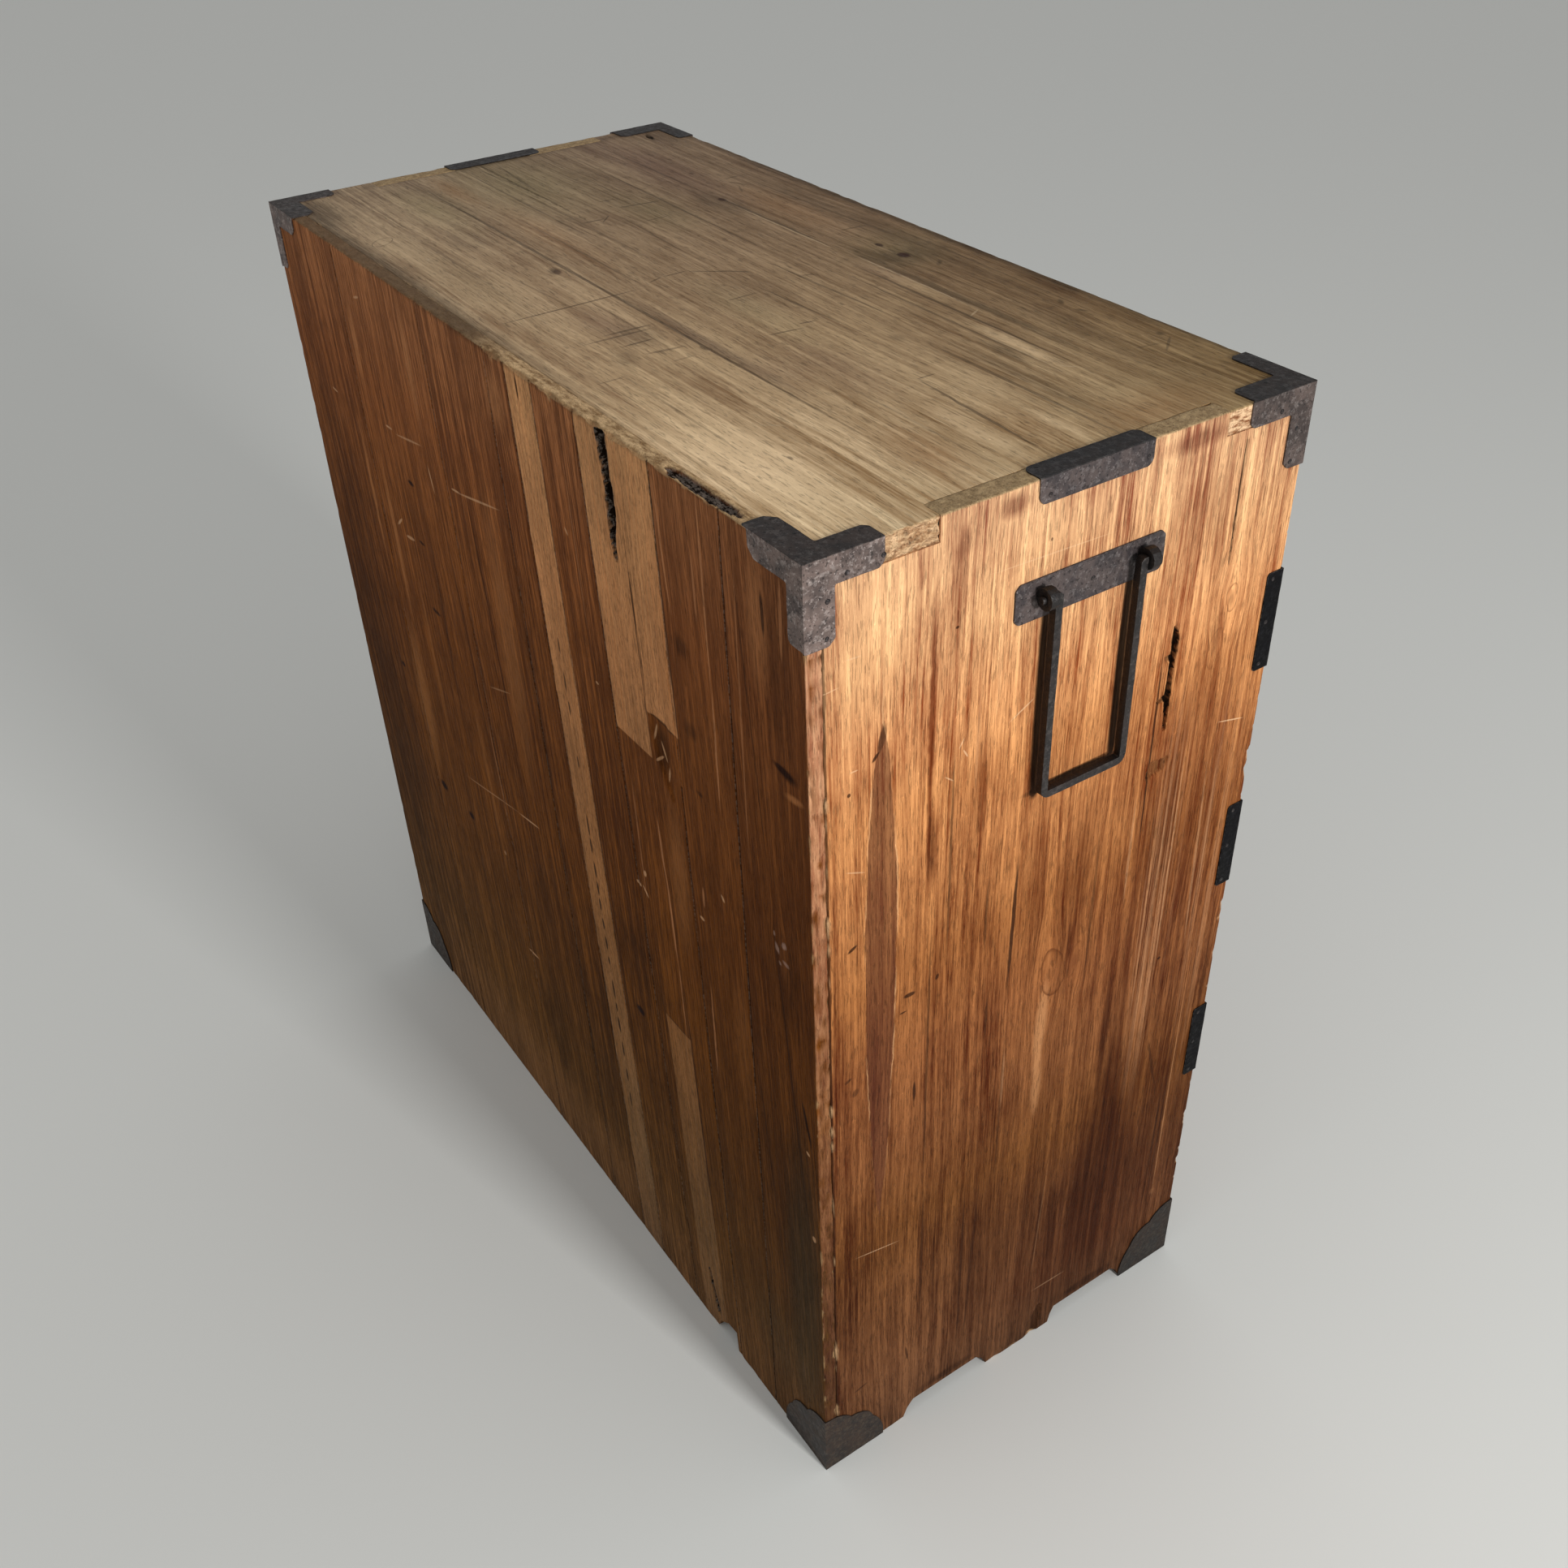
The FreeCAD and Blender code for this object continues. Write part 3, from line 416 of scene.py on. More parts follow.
def evenly(low, high, step):
    """Places between two ends, about a step apart, without the ends."""
    count = max(1, round((high - low) / step))
    return [low + (high - low) * i / count for i in range(1, count)]


def near_ends(low, high, offsets):
    """Places close inside both ends, where an arris is rounded."""
    return [low + o for o in offsets] + [high - o for o in offsets]


def rounded(point, low, high, radius):
    """The point, moved in to the rounded arris of the box from low to high."""
    shift = Vector((0, 0, 0))
    sides = [0, 0, 0]
    for i in range(3):
        sides[i] = 1 if point[i] - low[i] < high[i] - point[i] else -1
        shift[i] = max(0.0, radius - min(point[i] - low[i], high[i] - point[i]))
    if shift.length <= radius:
        return point
    kept = shift * (radius / shift.length)
    return point + Vector([sides[i] * (shift[i] - kept[i]) for i in range(3)])


def from_stroke(u, v, stroke):
    """How far inside a stroke a place is: 1 on its line, 0 at its edge, negative outside it. A
    stroke is a list of (across, along, half width)."""
    best = -1.0
    for (u0, v0, w0), (u1, v1, w1) in zip(stroke, stroke[1:]):
        du, dv = u1 - u0, v1 - v0
        share = max(0.0, min(1.0, ((u - u0) * du + (v - v0) * dv) / (du * du + dv * dv)))
        width = w0 + (w1 - w0) * share
        gap = math.hypot(u - u0 - du * share, v - v0 - dv * share)
        best = max(best, 1.0 - gap / width)
    return best


def put(name, data):
    """A new object in the scene."""
    thing = bpy.data.objects.new(name, data)
    bpy.context.scene.collection.objects.link(thing)
    return thing


def settle(bm, name, body, material, slot, *nodes, smooth=35):
    """Writes the mesh and hangs the piece on its body, in place of these CAD nodes."""
    for face in bm.faces:
        face.smooth = True
    mesh = bpy.data.meshes.new(name)
    bm.to_mesh(mesh)
    bm.free()
    mesh.set_sharp_from_angle(angle=math.radians(smooth))
    mesh.materials.append(material)
    piece = put(name, mesh)
    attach(piece, body)
    if nodes:
        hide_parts(*nodes)
    return piece


def chipping(point):
    """How chipped an arris is at a place: long chips of about 11 mm and small ones of 4 mm."""
    return (max(0.0, noise.noise(point / 11 + Vector((31, 7, 3))) - 0.22)
            + 0.6 * max(0.0, noise.noise(point / 4) - 0.3))


def worn_board(node, steps, arris, chips, strokes=(), plane=None, fine=1.4, shape=None, finer=(),
               prepare=None):
    """A board cut into a grid and worn: rounded and chipped arrises, and strokes, each (line,
    depth, dirt), sunk into one face. Plane is that face's (across, along, depth) axes, its level
    and its outward sign. Finer pairs a test on a face's middle with more cuts. Shape moves a
    point further and returns it with more dirt and raw wood."""
    beside_arris, past_stroke, face_reach, bare_from = (0.8, 2.0, 4.0), 2, 6, 0.08
    bm = merged(node)
    low, high = (corner * 1000 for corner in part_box(node))
    cut_grid(bm, [(axis, near_ends(low[axis], high[axis], beside_arris) +
                   (evenly(low[axis], high[axis], steps[axis]) if steps[axis] else []))
                  for axis in range(3)])
    if prepare:
        prepare(bm)
    for inside, cuts in finer:
        cut_grid(bm, cuts, inside)
    if plane:
        a, b, d, level, out = plane
    for line, depth, dirty in strokes:
        reach = max(w for u, v, w in line) + past_stroke
        spans = [(min(p[i] for p in line) - reach, max(p[i] for p in line) + reach) for i in (0, 1)]

        def near(middle, normal):
            return (abs(middle[d] - level) < 0.1 and
                    all(span[0] - face_reach < middle[axis] < span[1] + face_reach
                        for axis, span in zip((a, b), spans)))
        cut_grid(bm, [(a, evenly(*spans[0], fine)), (b, evenly(*spans[1], fine * 2.5))], near)
    dirt_and_shade = bm.verts.layers.float.new("dirt_and_shade")
    raw = bm.verts.layers.float.new("raw")
    for vert in bm.verts:
        point = vert.co * 1000
        chip = chipping(point)
        moved = rounded(point, low, high, arris + chips * chip)
        vert[raw] = min(1.0, (moved - point).length / 1.5) if chip > bare_from else 0.0
        if plane and abs(point[d] - level) < 0.1:
            uneven = 1.2 * noise.noise(point / 3.5)
            for line, depth, dirty in strokes:
                share = from_stroke(point[a] + uneven, point[b], line)
                vert[dirt_and_shade] = max(vert[dirt_and_shade], dirty * min(1.0, 1.0 + share * 4))
                if share > 0:
                    moved[d] = min(moved[d] * out, (level - out * depth * min(1.0, share * 4)) * out) * out
            moved[d] -= out * (0.18 + 0.18 * noise.noise(point / 60))
        if shape:
            moved, more, bare = shape(point, moved)
            vert[dirt_and_shade] = max(vert[dirt_and_shade], more)
            vert[raw] = max(vert[raw], bare)
        vert.co = moved / 1000
    return bm


end_finish = cedar_end()
split = [(-104, 808, 1.6), (-105, 798, 3.4), (-105, 783, 2.9), (-104.5, 765, 2.6), (-104, 748, 3.1),
         (-105, 733, 2.4), (-105.5, 716, 1.1)]
upper_nick = [(-95, 783, 1.2), (-104, 783, 2.6)]
lower_nick = [(-94, 745, 1.2), (-104, 746, 2.8)]
shallow_chip = [(-94, 675, 3), (-99, 682, 6.5), (-107, 681, 5), (-114, 684, 1.5)]
shake = [(-152, 943, 0.8), (-151.6, 900, 0.9), (-152, 846, 0.5)]
broken_grain = [(-27, 2, 9), (-30, 18, 9), (-36, 40, 3)]
end_strokes = [(split, 5.0, 1.0), (upper_nick, 2.6, 0.65), (lower_nick, 2.6, 0.65),
               (shallow_chip, 1.6, 0.45), (shake, 1.2, 0.8), (broken_grain, 2.2, 0.3)]
front_arris = (lambda m, n: m.x < -449 and m.y < -208 and abs(n.z) < 0.9, [(2, evenly(5, 965, 3))])
settle(worn_board("side_board_left", (0, 8, 8), 1.2, 9.0, end_strokes, (1, 2, 0, -end_face, -1),
                  finer=[front_arris]),
       "end_board_left", "carcass", end_finish, "cedar_end", "side_board_left")
settle(worn_board("side_board_right", (0, 9, 9), 1.2, 9.0), "end_board_right", "carcass", end_finish,
       "cedar_end", "side_board_right")

# ---- Top ------------------------------------------------------------------------
# Two wide cedar planks, never finished and gone grey-brown, rubbed pale at the near end
# and dark with grime along the rear and at the front. A rotten hollow eats the rear arris.


def cedar_top():
    """Bare cedar gone grey-brown, its lines drawn along the width of the chest."""
    material, tree = new_finish("bare_cedar_top")
    dirt_and_shade, raw = mesh_masks(tree, "dirt_and_shade", "raw")
    axes = millimetres(tree)
    along, across, depth = axes
    knots = [(-154, -57, 18, 44), (-154, -22, 10, 24), (-118, 178, 12, 30), (101, 95, 9, 30)]
    figure = softwood(tree, across, along, depth, 22.0, 3.2, 26.0, knots)
    shift = ramp(tree, along, -455.0, 455.0)
    rear_deep, rear_pale = graded(tree, shift, (0.0, "#B48E62", "#FFE2B4"), (1.0, "#7C6651", "#C5AB89"),
                                  (0.14, "#AC885E", "#FEDDB0"), (0.32, "#9A7958", "#E2C296"),
                                  (0.5, "#957555", "#D3B48D"))
    front_deep, front_pale = graded(tree, shift, (0.0, "#6A512F", "#A78B5E"), (1.0, "#6A5240", "#967E64"),
                                    (0.25, "#62472B", "#9A7C57"), (0.55, "#644C33", "#987B5D"))
    row = ramp(tree, across, -213.0, 190.0)
    deep = blend(tree, row, front_deep, rear_deep)
    pale = blend(tree, row, front_pale, rear_pale)
    tone = toned(tree, figure, 0.55, bands=0.24, streaks=0.32, lines=0.26, fibres=0.34, blotches=0.44)
    wood = blend(tree, tone, deep, pale)
    purple = marks(tree, across, along, [
        (-125, 320, 40, 200), (85, -130, 10, 160, 0.8), (128, -40, 22, 60, 0.8), (35, -220, 30, 90, 0.5),
        (-115, -80, 14, 50, 0.8), (70, -200, 22, 60, 0.5)])
    wood = tinted(tree, wood, purple, "#7B5D50", 0.5)
    olive = marks(tree, across, along, [
        (10, 350, 90, 160), (110, 330, 34, 110, 0.9), (-160, -40, 60, 70, 0.6, 30), (20, -90, 24, 110, 0.5),
        (-50, 190, 40, 90, 0.7), (175, 120, 30, 200, 0.3)])
    wood = tinted(tree, wood, olive, "#857A55", 0.5)
    brown = marks(tree, across, along, [
        (75, -385, 30, 70), (-90, -420, 80, 40, 0.8), (70, 370, 16, 80, 0.8), (60, 190, 24, 140, 0.6),
        (-150, 120, 30, 110, 0.6), (-10, -390, 30, 70, 0.5)])
    wood = tinted(tree, wood, brown, "#96663A", 0.5)
    u = shaken(tree, axes, across, 9.0, 25.0)
    stains = marks(tree, u, along, [
        (-214, 0, 13, 700), (216, 180, 19, 440), (198, 390, 24, 70, 0.8), (222, -240, 6, 200, 0.5),
        (-126, -170, 7, 180, 0.9), (-79, -277, 8, 34, 0.7), (-34, -205, 6, 12, 0.5),
        (-154, -62, 26, 30, 0.6), (-135, -45, 16, 36, 0.4), (-112, 170, 20, 60, 0.6),
        (85, -120, 8, 150, 0.5), (-60, -330, 9, 110, 0.5), (-180, 20, 20, 300, 0.35),
        (120, -75, 22, 34, 0.45), (150, -110, 14, 26, 0.4, 20), (101, 100, 6, 10, 0.9, 20),
        (-165, -91, 3, 9, 0.8, 40), (-182, -225, 3, 8, 0.9, 30), (-183, -249, 3, 8, 0.9, -30),
        (-195, -322, 4, 5, 0.9), (-20, 440, 220, 14, 0.7), (125, 225, 24, 40, 0.4),
        (-150, -270, 20, 110, 0.3), (-190, 400, 14, 60, 0.4), (0, -60, 40, 60, 0.2)], 1.6)
    wood = shaded(tree, wood, stains, 0.5)
    glows = marks(tree, u, along, [
        (172, -330, 24, 120, 0.9), (28, -370, 12, 80, 0.6), (197, -35, 3, 34, 0.7), (-97, -265, 7, 66, 0.7),
        (-114, -110, 7, 90, 0.5), (180, 200, 16, 240, 0.5), (-25, -400, 8, 40, 0.5),
        (221, -150, 3.5, 140, 0.9), (105, -180, 14, 120, 0.3)], 1.6)
    lift = blend(tree, 0.7, wood, rear_pale)
    wood = tinted(tree, wood, glows, lift)
    scraped = marks(tree, shaken(tree, axes, across, 1.4, 12.0), along, [
        (-104, -258, 1.2, 62, 0.57), (-121, -110, 1.2, 92), (-113, -201, 1.2, 9, 1.0, 62),
        (-97.5, -327, 1.2, 9, 1.0, -38), (-89.5, -280, 1.2, 52, 0.8), (-117, 70, 1.4, 90),
        (130.5, -279, 1, 12, 0.92, -50), (187, -138, 1, 24, 0.57, 4)], 3.0)
    wood = tinted(tree, wood, scraped, "#C7AD8A", 0.6)
    slits = marks(tree, shaken(tree, axes, across, 1.8, 24.0), along, [
        (91, 40, 2, 420), (92.5, -130, 3.1, 7), (2, 370, 1.7, 64, 0.7, 5), (16, 380, 1.7, 56, 0.6, -5),
        (20.5, 200, 1.5, 150, 0.5), (34, 290, 1.5, 150, 0.69), (-73, 220, 1.5, 230, 0.8, 1),
        (-117, 330, 1.5, 140, 0.69), (-119, 100, 1.8, 110, 0.92), (-177, 414, 3.6, 17, 1.0, 14),
        (-105.5, -180, 1.8, 155), (-87.5, -200, 1.8, 140, 0.69), (-56, -80, 1.7, 100, 0.8, -2),
        (-46, -340, 2.1, 120, 0.8), (7.5, -352, 1.8, 82, 1.0, 3.4), (-5, -277.5, 9, 1.4, 0.8),
        (60, 125, 1.5, 130, 0.69), (-154, -57, 6, 7), (-154, -22, 3.4, 5.5, 0.92), (-118, 178, 3.4, 5.5),
        (-50, 260, 1.4, 150, 0.46), (-16, -100, 1.4, 60, 0.8, -3), (-178, 70, 1.4, 180, 0.46, -2),
        (50, -340, 1.4, 120, 0.46), (169, -220, 1.4, 110, 0.46, 1), (113, -30, 1.4, 70, 0.46),
        (-14, 120, 1.4, 60, 0.69, 3), (160, 150, 1.4, 200, 0.34, 1), (-190, -120, 1.4, 160, 0.57, 1),
        (134, 55, 1.3, 80, 0.46, -4)], 3.0)
    wood = tinted(tree, wood, slits, "#33271C", 0.55)
    holes = marks(tree, across, along, [
        (-154, -57, 6, 9), (-154, -22, 3.4, 6, 0.8), (-118, 178, 4, 7, 0.8), (101, 95, 5, 9, 0.7, 20),
        (-140, 270, 2.4, 5, 0.5), (150, -330, 2, 4, 0.6)], 2.0)
    wood = tinted(tree, wood, holes, "#3A211A", 0.85)
    scratches = marks(tree, across, along, [
        (129, 14, 74, 1.4), (24, 27.5, 13, 1.3), (-2, 14, 20, 1.3, 1.0, 40), (45, 25, 9, 1.3, 0.92, -20),
        (-50, 216, 27, 1.4, 1.0, 9), (9, 199, 12, 1.7, 1.0, 4), (-3, 197, 12, 1.1, 0.92, -46),
        (-31, 247, 10, 1.4, 0.8, 4), (-40, 168, 16, 1.3, 0.8), (-164, 233, 9, 1.5, 0.92),
        (-158, 212, 1.4, 13, 0.8, -20), (-150, 195, 1.4, 12, 0.69, 24), (-165, 30, 16, 1.7, 0.8, 6),
        (120, -61, 24, 1.8, 0.92, 2), (132, -68, 34, 1.8, 0.8, 2), (127, -89, 16, 1.7, 0.92),
        (118, -115, 18, 2.2, 0.69, 8), (115, -138, 12, 1.4, 0.46), (1, -135, 9, 1.4, 0.92, 10),
        (26, -141, 18, 1.4, 0.92, 8), (10, -55, 18, 1.4, 0.8), (-19, 0, 16, 1.5, 0.92, 46),
        (-62, -46, 7, 1.4, 0.8, 24), (180, -141, 14, 1.3, 0.57), (-185, -340, 16, 1.4, 0.8, -40),
        (-170, -334, 14, 1.4, 0.57, 10)], 3.0)
    wood = tinted(tree, wood, scratches, "#4B3D2D", 0.62)
    flat = add(tree, "CombineXYZ", across, along, 0.0)
    ring = add(tree, "ValToRGB", oval(tree, flat, 187.5, 269, 8, 14, 51.566), stops=[
        (0.0, 0.0), (1.0, 0.0), (0.06, 0.9), (0.14, 0.0)])
    wood = tinted(tree, wood, ring, "#3A2E22", 0.8)
    near_end = times(tree, ramp(tree, along, -449.0, -449.8), ramp(tree, depth, 969.4, 968.4))
    ends = cloud(tree, axes, (4, 9, 2.5), 0.4, 0.6, 4.0, 0.7)
    cut_end = blend(tree, ends, "#8E5C3A", "#F2CA9F")
    wood = tinted(tree, wood, near_end, cut_end)
    wood = tinted(tree, wood, raw, "#C7A57B", 0.7)
    wood_shader(tree, wood, figure, dirt_and_shade, 0.5, 0.7, 0.06)
    return material


def near_finger(point, moved):
    """Chips the rear finger of the near end down to broken grain, frets the edge beside it, and
    lowers a torn strip along the seam."""
    finger_side, torn_depth = 119.5, 0.7
    if point.x < -453 and finger_side < point.y < 214:
        bite = 1.4 + 2.2 * noise.noise(point / 5) + 1.2 * noise.noise(point / 2.4)
        moved.x += max(0.0, bite)
        return moved, 0.9 * max(0.0, noise.noise(point / 2.6)), 0.5 + 0.5 * noise.noise(point / 4)
    if point.x < -453 and point.z > 965 and -140 < point.y < finger_side:
        moved.x += max(0.0, 1.4 * noise.noise(point / 6))
    if -430 < point.x < -277 and -14 < point.y < 8 - (point.x + 352) * 0.058 and point.z > 969.9:
        moved.z -= torn_depth
    return moved, 0.0, 0.0


top_strokes = [([(-176.5, 406, 0.8), (-176, 414, 2.4), (-177, 422, 0.8)], 2.5, 1.0),
               ([(11.6, 428, 0.8), (11.3, 300, 1.0), (11.8, 205, 0.5)], 0.6, 0.4)]
finger_end = (lambda m, n: m.x < -454 and m.y > 118,
              [(1, evenly(119, 213, 1.8)), (2, evenly(951, full_height, 1.8))])
end_arris = (lambda m, n: m.x < -449 and m.z > 966, [(1, evenly(-213, 213, 3))])
settle(worn_board("top_board", (9, 8, 0), 1.0, 7.0, top_strokes, (1, 0, 2, full_height, 1),
                  shape=near_finger, finer=[finger_end, end_arris]),
       "top_planks", "carcass", cedar_top(), "cedar_top", "top_board")

# ---- Back -----------------------------------------------------------------------
# Upright cedar planks of odd widths, nailed over the rear, their seams leaning. Stained
# dark, with paler planks among them, a split open at the top, and a worn upper edge.

# Each seam's place at the top and at the foot, how wide and deep the seams are, each plank's
# tone, and the level of the rear face.
seams = ((300, 288), (112, 84), (-18, -44), (-55, -110), (-98, -152), (-166, -222), (-272, -306),
         (-360, -368))
seam_width, seam_depth = 0.6, 0.9
plank_tones = (0.4, 0.62, 0.46, 0.34, 1.0, 0.38, 0.5, 0.46, 0.32)
rear_face = 226.5


def seams_at(level):
    """Where the leaning seams are at a height above the floor."""
    return [top + (foot - top) * (1 - level / full_height) for top, foot in seams]


def cedar_back():
    """Rear planks of cedar under a dark brown stain, rubbed and streaked."""
    material, tree = new_finish("stained_cedar_back")
    dirt_and_shade, raw, plank = mesh_masks(tree, "dirt_and_shade", "raw", "plank")
    axes = millimetres(tree)
    across, depth, along = axes
    seam_lean = 0.0567
    lean = swayed(tree, across, minus(tree, full_height, along), seam_lean)
    figure = softwood(tree, lean, along, depth, 16.0, 2.8, 12.0, [(-394, 630, 18, 44), (-131, 374, 12, 30)])
    height = ramp(tree, along, 0.0, full_height)
    deep, pale = graded(
        tree, height, (0.0, "#3C2714", "#8A603A"), (1.0, "#552E18", "#B8794C"),
        (0.15, "#38220E", "#774D20"), (0.31, "#331A06", "#754616"), (0.46, "#361905", "#7F4914"),
        (0.62, "#3C1A05", "#854C1A"), (0.77, "#421E08", "#985A29"), (0.88, "#4E2610", "#A26234"))
    tone = toned(tree, figure, 0.22, bands=0.24, streaks=0.4, lines=0.34, fibres=0.6, blotches=0.3)
    tone = add(tree, "Math", plank, 0.6, tone, operation="MULTIPLY_ADD", use_clamp=True)
    near = ramp(tree, across, -210.0, -300.0, 0.0, 0.4)
    tone = add(tree, "Mix", near, tone, swayed(tree, 0.08, plank, 0.62))
    wood = blend(tree, tone, deep, pale)
    clear = add(tree, "ValToRGB", height, stops=[
        (0.0, "#8C6848"), (1.0, "#EDAF76"), (0.15, "#946E48"), (0.5, "#BE8350"), (0.82, "#E4A069")])
    mottle = toned(tree, figure, 0.5, fibres=-0.5, streaks=-0.4, blotches=-0.5)
    bright = shaded(tree, clear, mottle, 0.5)
    bright = shaded(tree, bright, cloud(tree, axes, (2.6, 2.6, 7), 0.5, 0.62, 3.0, 0.7), 0.72)
    kept = toned(tree, figure, 0.12, lines=0.5, fibres=0.5, streaks=0.3)
    bright = tinted(tree, bright, kept, pale, 0.8)
    wood = tinted(tree, wood, ramp(tree, plank, 0.9, 0.95), bright)
    edge = shaken(tree, axes, lean, 1.6, 14.0)
    right = ramp(tree, edge, -270.8, -271.6)
    inner = ramp(tree, edge, -166.0, -166.8)
    split_line = ramp(tree, edge, -223.6, -224.4, 706.0, 749.0)
    above = ramp(tree, minus(tree, along, split_line), -0.5, 0.5)
    patch = times(tree, minus(tree, inner, right), above)
    wood = tinted(tree, wood, patch, bright, 0.95)
    low_patch = minus(tree, ramp(tree, edge, -184.5, -185.3), ramp(tree, edge, -226.5, -227.3))
    below = ramp(tree, along, 412.5, 411.5)
    wood = tinted(tree, wood, times(tree, low_patch, below), bright, 0.75)
    rims = marks(tree, edge, along, [
        (-271.3, 850, 1.6, 170), (-223.6, 800, 1.2, 130, 0.8), (-227.2, 300, 1.8, 190),
        (-247, 749, 24, 1.5, 0.9), (-205, 412, 22, 1.4, 0.7)], 3.0)
    wood = tinted(tree, wood, rims, "#24110A", 0.7)
    u = shaken(tree, axes, across, 4.0, 16.0)
    glows = marks(tree, u, along, [
        (283, 485, 22, 110), (316, 715, 5, 90, 1.0, -1), (272, 680, 6, 110, 1.0, -1),
        (281, 880, 8, 50, 0.7), (20, 680, 26, 180, 0.6), (-265, 600, 20, 90, 0.6),
        (150, 900, 9, 70, 0.6, -2), (228, 560, 5, 120, 0.6, -2), (130, 470, 7, 130, 0.5, -3),
        (-437, 786, 14, 4, 0.9, -8), (-30, 930, 22, 30, 0.5), (60, 60, 300, 60, 0.4),
        (-400, 900, 16, 60, 0.4), (-350, 480, 16, 90, 0.3)], 1.6)
    wood = tinted(tree, wood, glows, blend(tree, 0.3, pale, clear), 0.75)
    grime = marks(tree, u, along, [(-430, 250, 34, 230), (-390, 120, 60, 80, 0.5)], 1.4)
    wood = tinted(tree, wood, grime, "#54462F", 0.45)
    stains = marks(tree, u, along, [
        (200, 770, 9, 3.5), (200, 707, 8, 2.5, 0.8), (195, 633, 13, 3.5, 0.8), (275, 372, 11, 7),
        (203, 374, 10, 6, 0.9), (333, 503, 7, 4, 0.9), (-165, 374, 9, 6, 1.2), (-430, 802, 15, 6, 1.0, 6),
        (-298, 837, 12, 11, 0.7), (-303, 768, 12, 10, 0.7), (-310, 714, 6, 3, 0.8),
        (-255, 722, 14, 32, 0.8), (-425, 300, 34, 200, 0.5), (-415, 600, 34, 60, 0.4),
        (50, 170, 44, 90, 0.4), (-170, 440, 70, 60, 0.3, 20), (410, 450, 90, 420, 0.4),
        (-30, 500, 7, 420, 0.5, -2), (-425, 880, 20, 130, 0.4), (-100, 970, 400, 6, 0.6),
        (175, 640, 3, 140, 0.6)], 1.6)
    wood = shaded(tree, wood, stains, 0.34)
    holes = marks(tree, across, along, [
        (275, 372, 9, 6), (203, 374, 7, 5), (-165, 374, 8, 5.5), (200, 770, 8, 2.6, 0.9),
        (200, 707, 8, 1.8, 0.7), (195, 633, 12, 2.6, 0.7), (333, 503, 6, 3.4, 0.8),
        (-425, 803, 15, 3.6, 0.9, 6)], 2.4)
    wood = tinted(tree, wood, holes, "#1E0A08", 0.85)
    fine = shaken(tree, axes, lean, 1.6, 20.0)
    slits = marks(tree, fine, along, [
        (-76.8, 735, 1.5, 9, 0.92), (-77, 700, 1.7, 12, 0.92), (-77.5, 675, 1.7, 8),
        (-77.6, 620, 1.7, 8, 0.92), (-76.8, 552, 2.1, 14), (-76.6, 530, 2.1, 10), (-76.6, 502, 2.2, 11),
        (-76.4, 481, 2.1, 9), (-76, 462, 2.1, 9), (-76, 439, 2.1, 8), (-75.8, 416, 2.4, 10),
        (-75.4, 394, 2, 6), (-75, 358, 2.2, 14), (-75, 335, 2.2, 7), (-75, 312, 2.4, 12),
        (-74.6, 280, 2.1, 12), (-74.4, 245, 2.1, 10), (-74, 210, 2, 12, 0.92), (-74.5, 955, 1.8, 12),
        (-224, 840, 1.7, 26, 0.8), (-226, 790, 1.4, 30, 0.57), (-404, 915, 2.2, 18, 0.92),
        (-394, 500, 1.5, 200, 0.57, -3), (-411, 470, 2.2, 26, 1.0, -12), (-378, 820, 1.4, 130, 0.57, -3),
        (140, 640, 1.7, 200, 0.57, -2), (70, 700, 1.4, 200, 0.57, -2), (240, 780, 1.4, 180, 0.57, -2),
        (205, 300, 1.4, 200, 0.46, -2), (-350, 350, 1.4, 160, 0.57, -3)], 3.0)
    wood = tinted(tree, wood, slits, "#1E0F08", 0.85)
    arcs = marks(tree, across, along, [
        (-246, 735, 1.6, 10, 0.9, 20), (-257, 722, 1.6, 10, 0.9, -24), (-250, 712, 1.5, 8, 0.8, 50),
        (-262, 703, 1.6, 9, 0.8, 12), (-268, 692, 1.4, 7, 0.8), (232, 815, 9, 1.4, 1.0, -4),
        (185, 819, 34, 1.3, 0.8, -10), (40, 815, 50, 1.3, 0.92, -12), (88, 806, 10, 1.3, 1.0, -8),
        (372, 806, 8, 1.3, 1.0, 4), (144, 795, 1.5, 15, 1.0, -14), (252, 709, 11, 1.7, 1.0, -38),
        (230, 700, 12, 2.2, 0.92, -10), (38, 470, 26, 1.3, 0.92, -12), (128, 449, 76, 1.1, 0.5, -14),
        (86, 258, 14, 1.7, 0.92, -8), (60, 612, 30, 1.1, 0.4, -20), (-106, 834, 1.5, 3),
        (-132, 858, 4, 1.3, 1.0, 50), (-204, 566, 2.8, 4, 1.0, 20), (-191, 547, 5, 2.2, 1.0, 10),
        (-202, 545, 7, 1.7, 1.0, 45), (-155, 732, 3, 1.4, 0.92), (-333, 628, 4, 2, 1.0, 50),
        (-298, 583, 4, 2, 0.92), (-445, 334, 3, 4), (-440, 436, 3, 2, 1.0, 30), (120, 376, 3, 3, 0.69),
        (255, 932, 8, 1.4, 1.0, -16)], 3.0)
    wood = tinted(tree, wood, arcs, "#C2946C", 0.85)
    rules = marks(tree, shaken(tree, axes, across, 1.6, 30.0), along, [
        (-335, 900, 1.5, 90, 1.0, -1), (-338, 770, 1.5, 60), (-282, 910, 1.5, 60, 0.92, -6),
        (-239, 615, 1.8, 34, 1.0, -5), (-245.5, 545, 1.8, 55, 1.0, -4), (-251, 455, 1.4, 50, 0.69, -2),
        (-303, 460, 1.5, 60, 0.8), (-263, 815, 1.5, 45, 0.69, -1), (-323, 895, 1.8, 30, 0.69, -2),
        (-375, 820, 1.3, 140, 0.57), (-428, 920, 2.2, 34, 0.69), (-303, 608, 1.8, 12, 0.92),
        (-145, 850, 1.4, 80, 0.57, -3), (100, 480, 1.5, 90, 0.69, -4), (-200, 600, 1.4, 70, 0.57, -2)], 3.0)
    wood = tinted(tree, wood, rules, "#B47A50", 0.75)
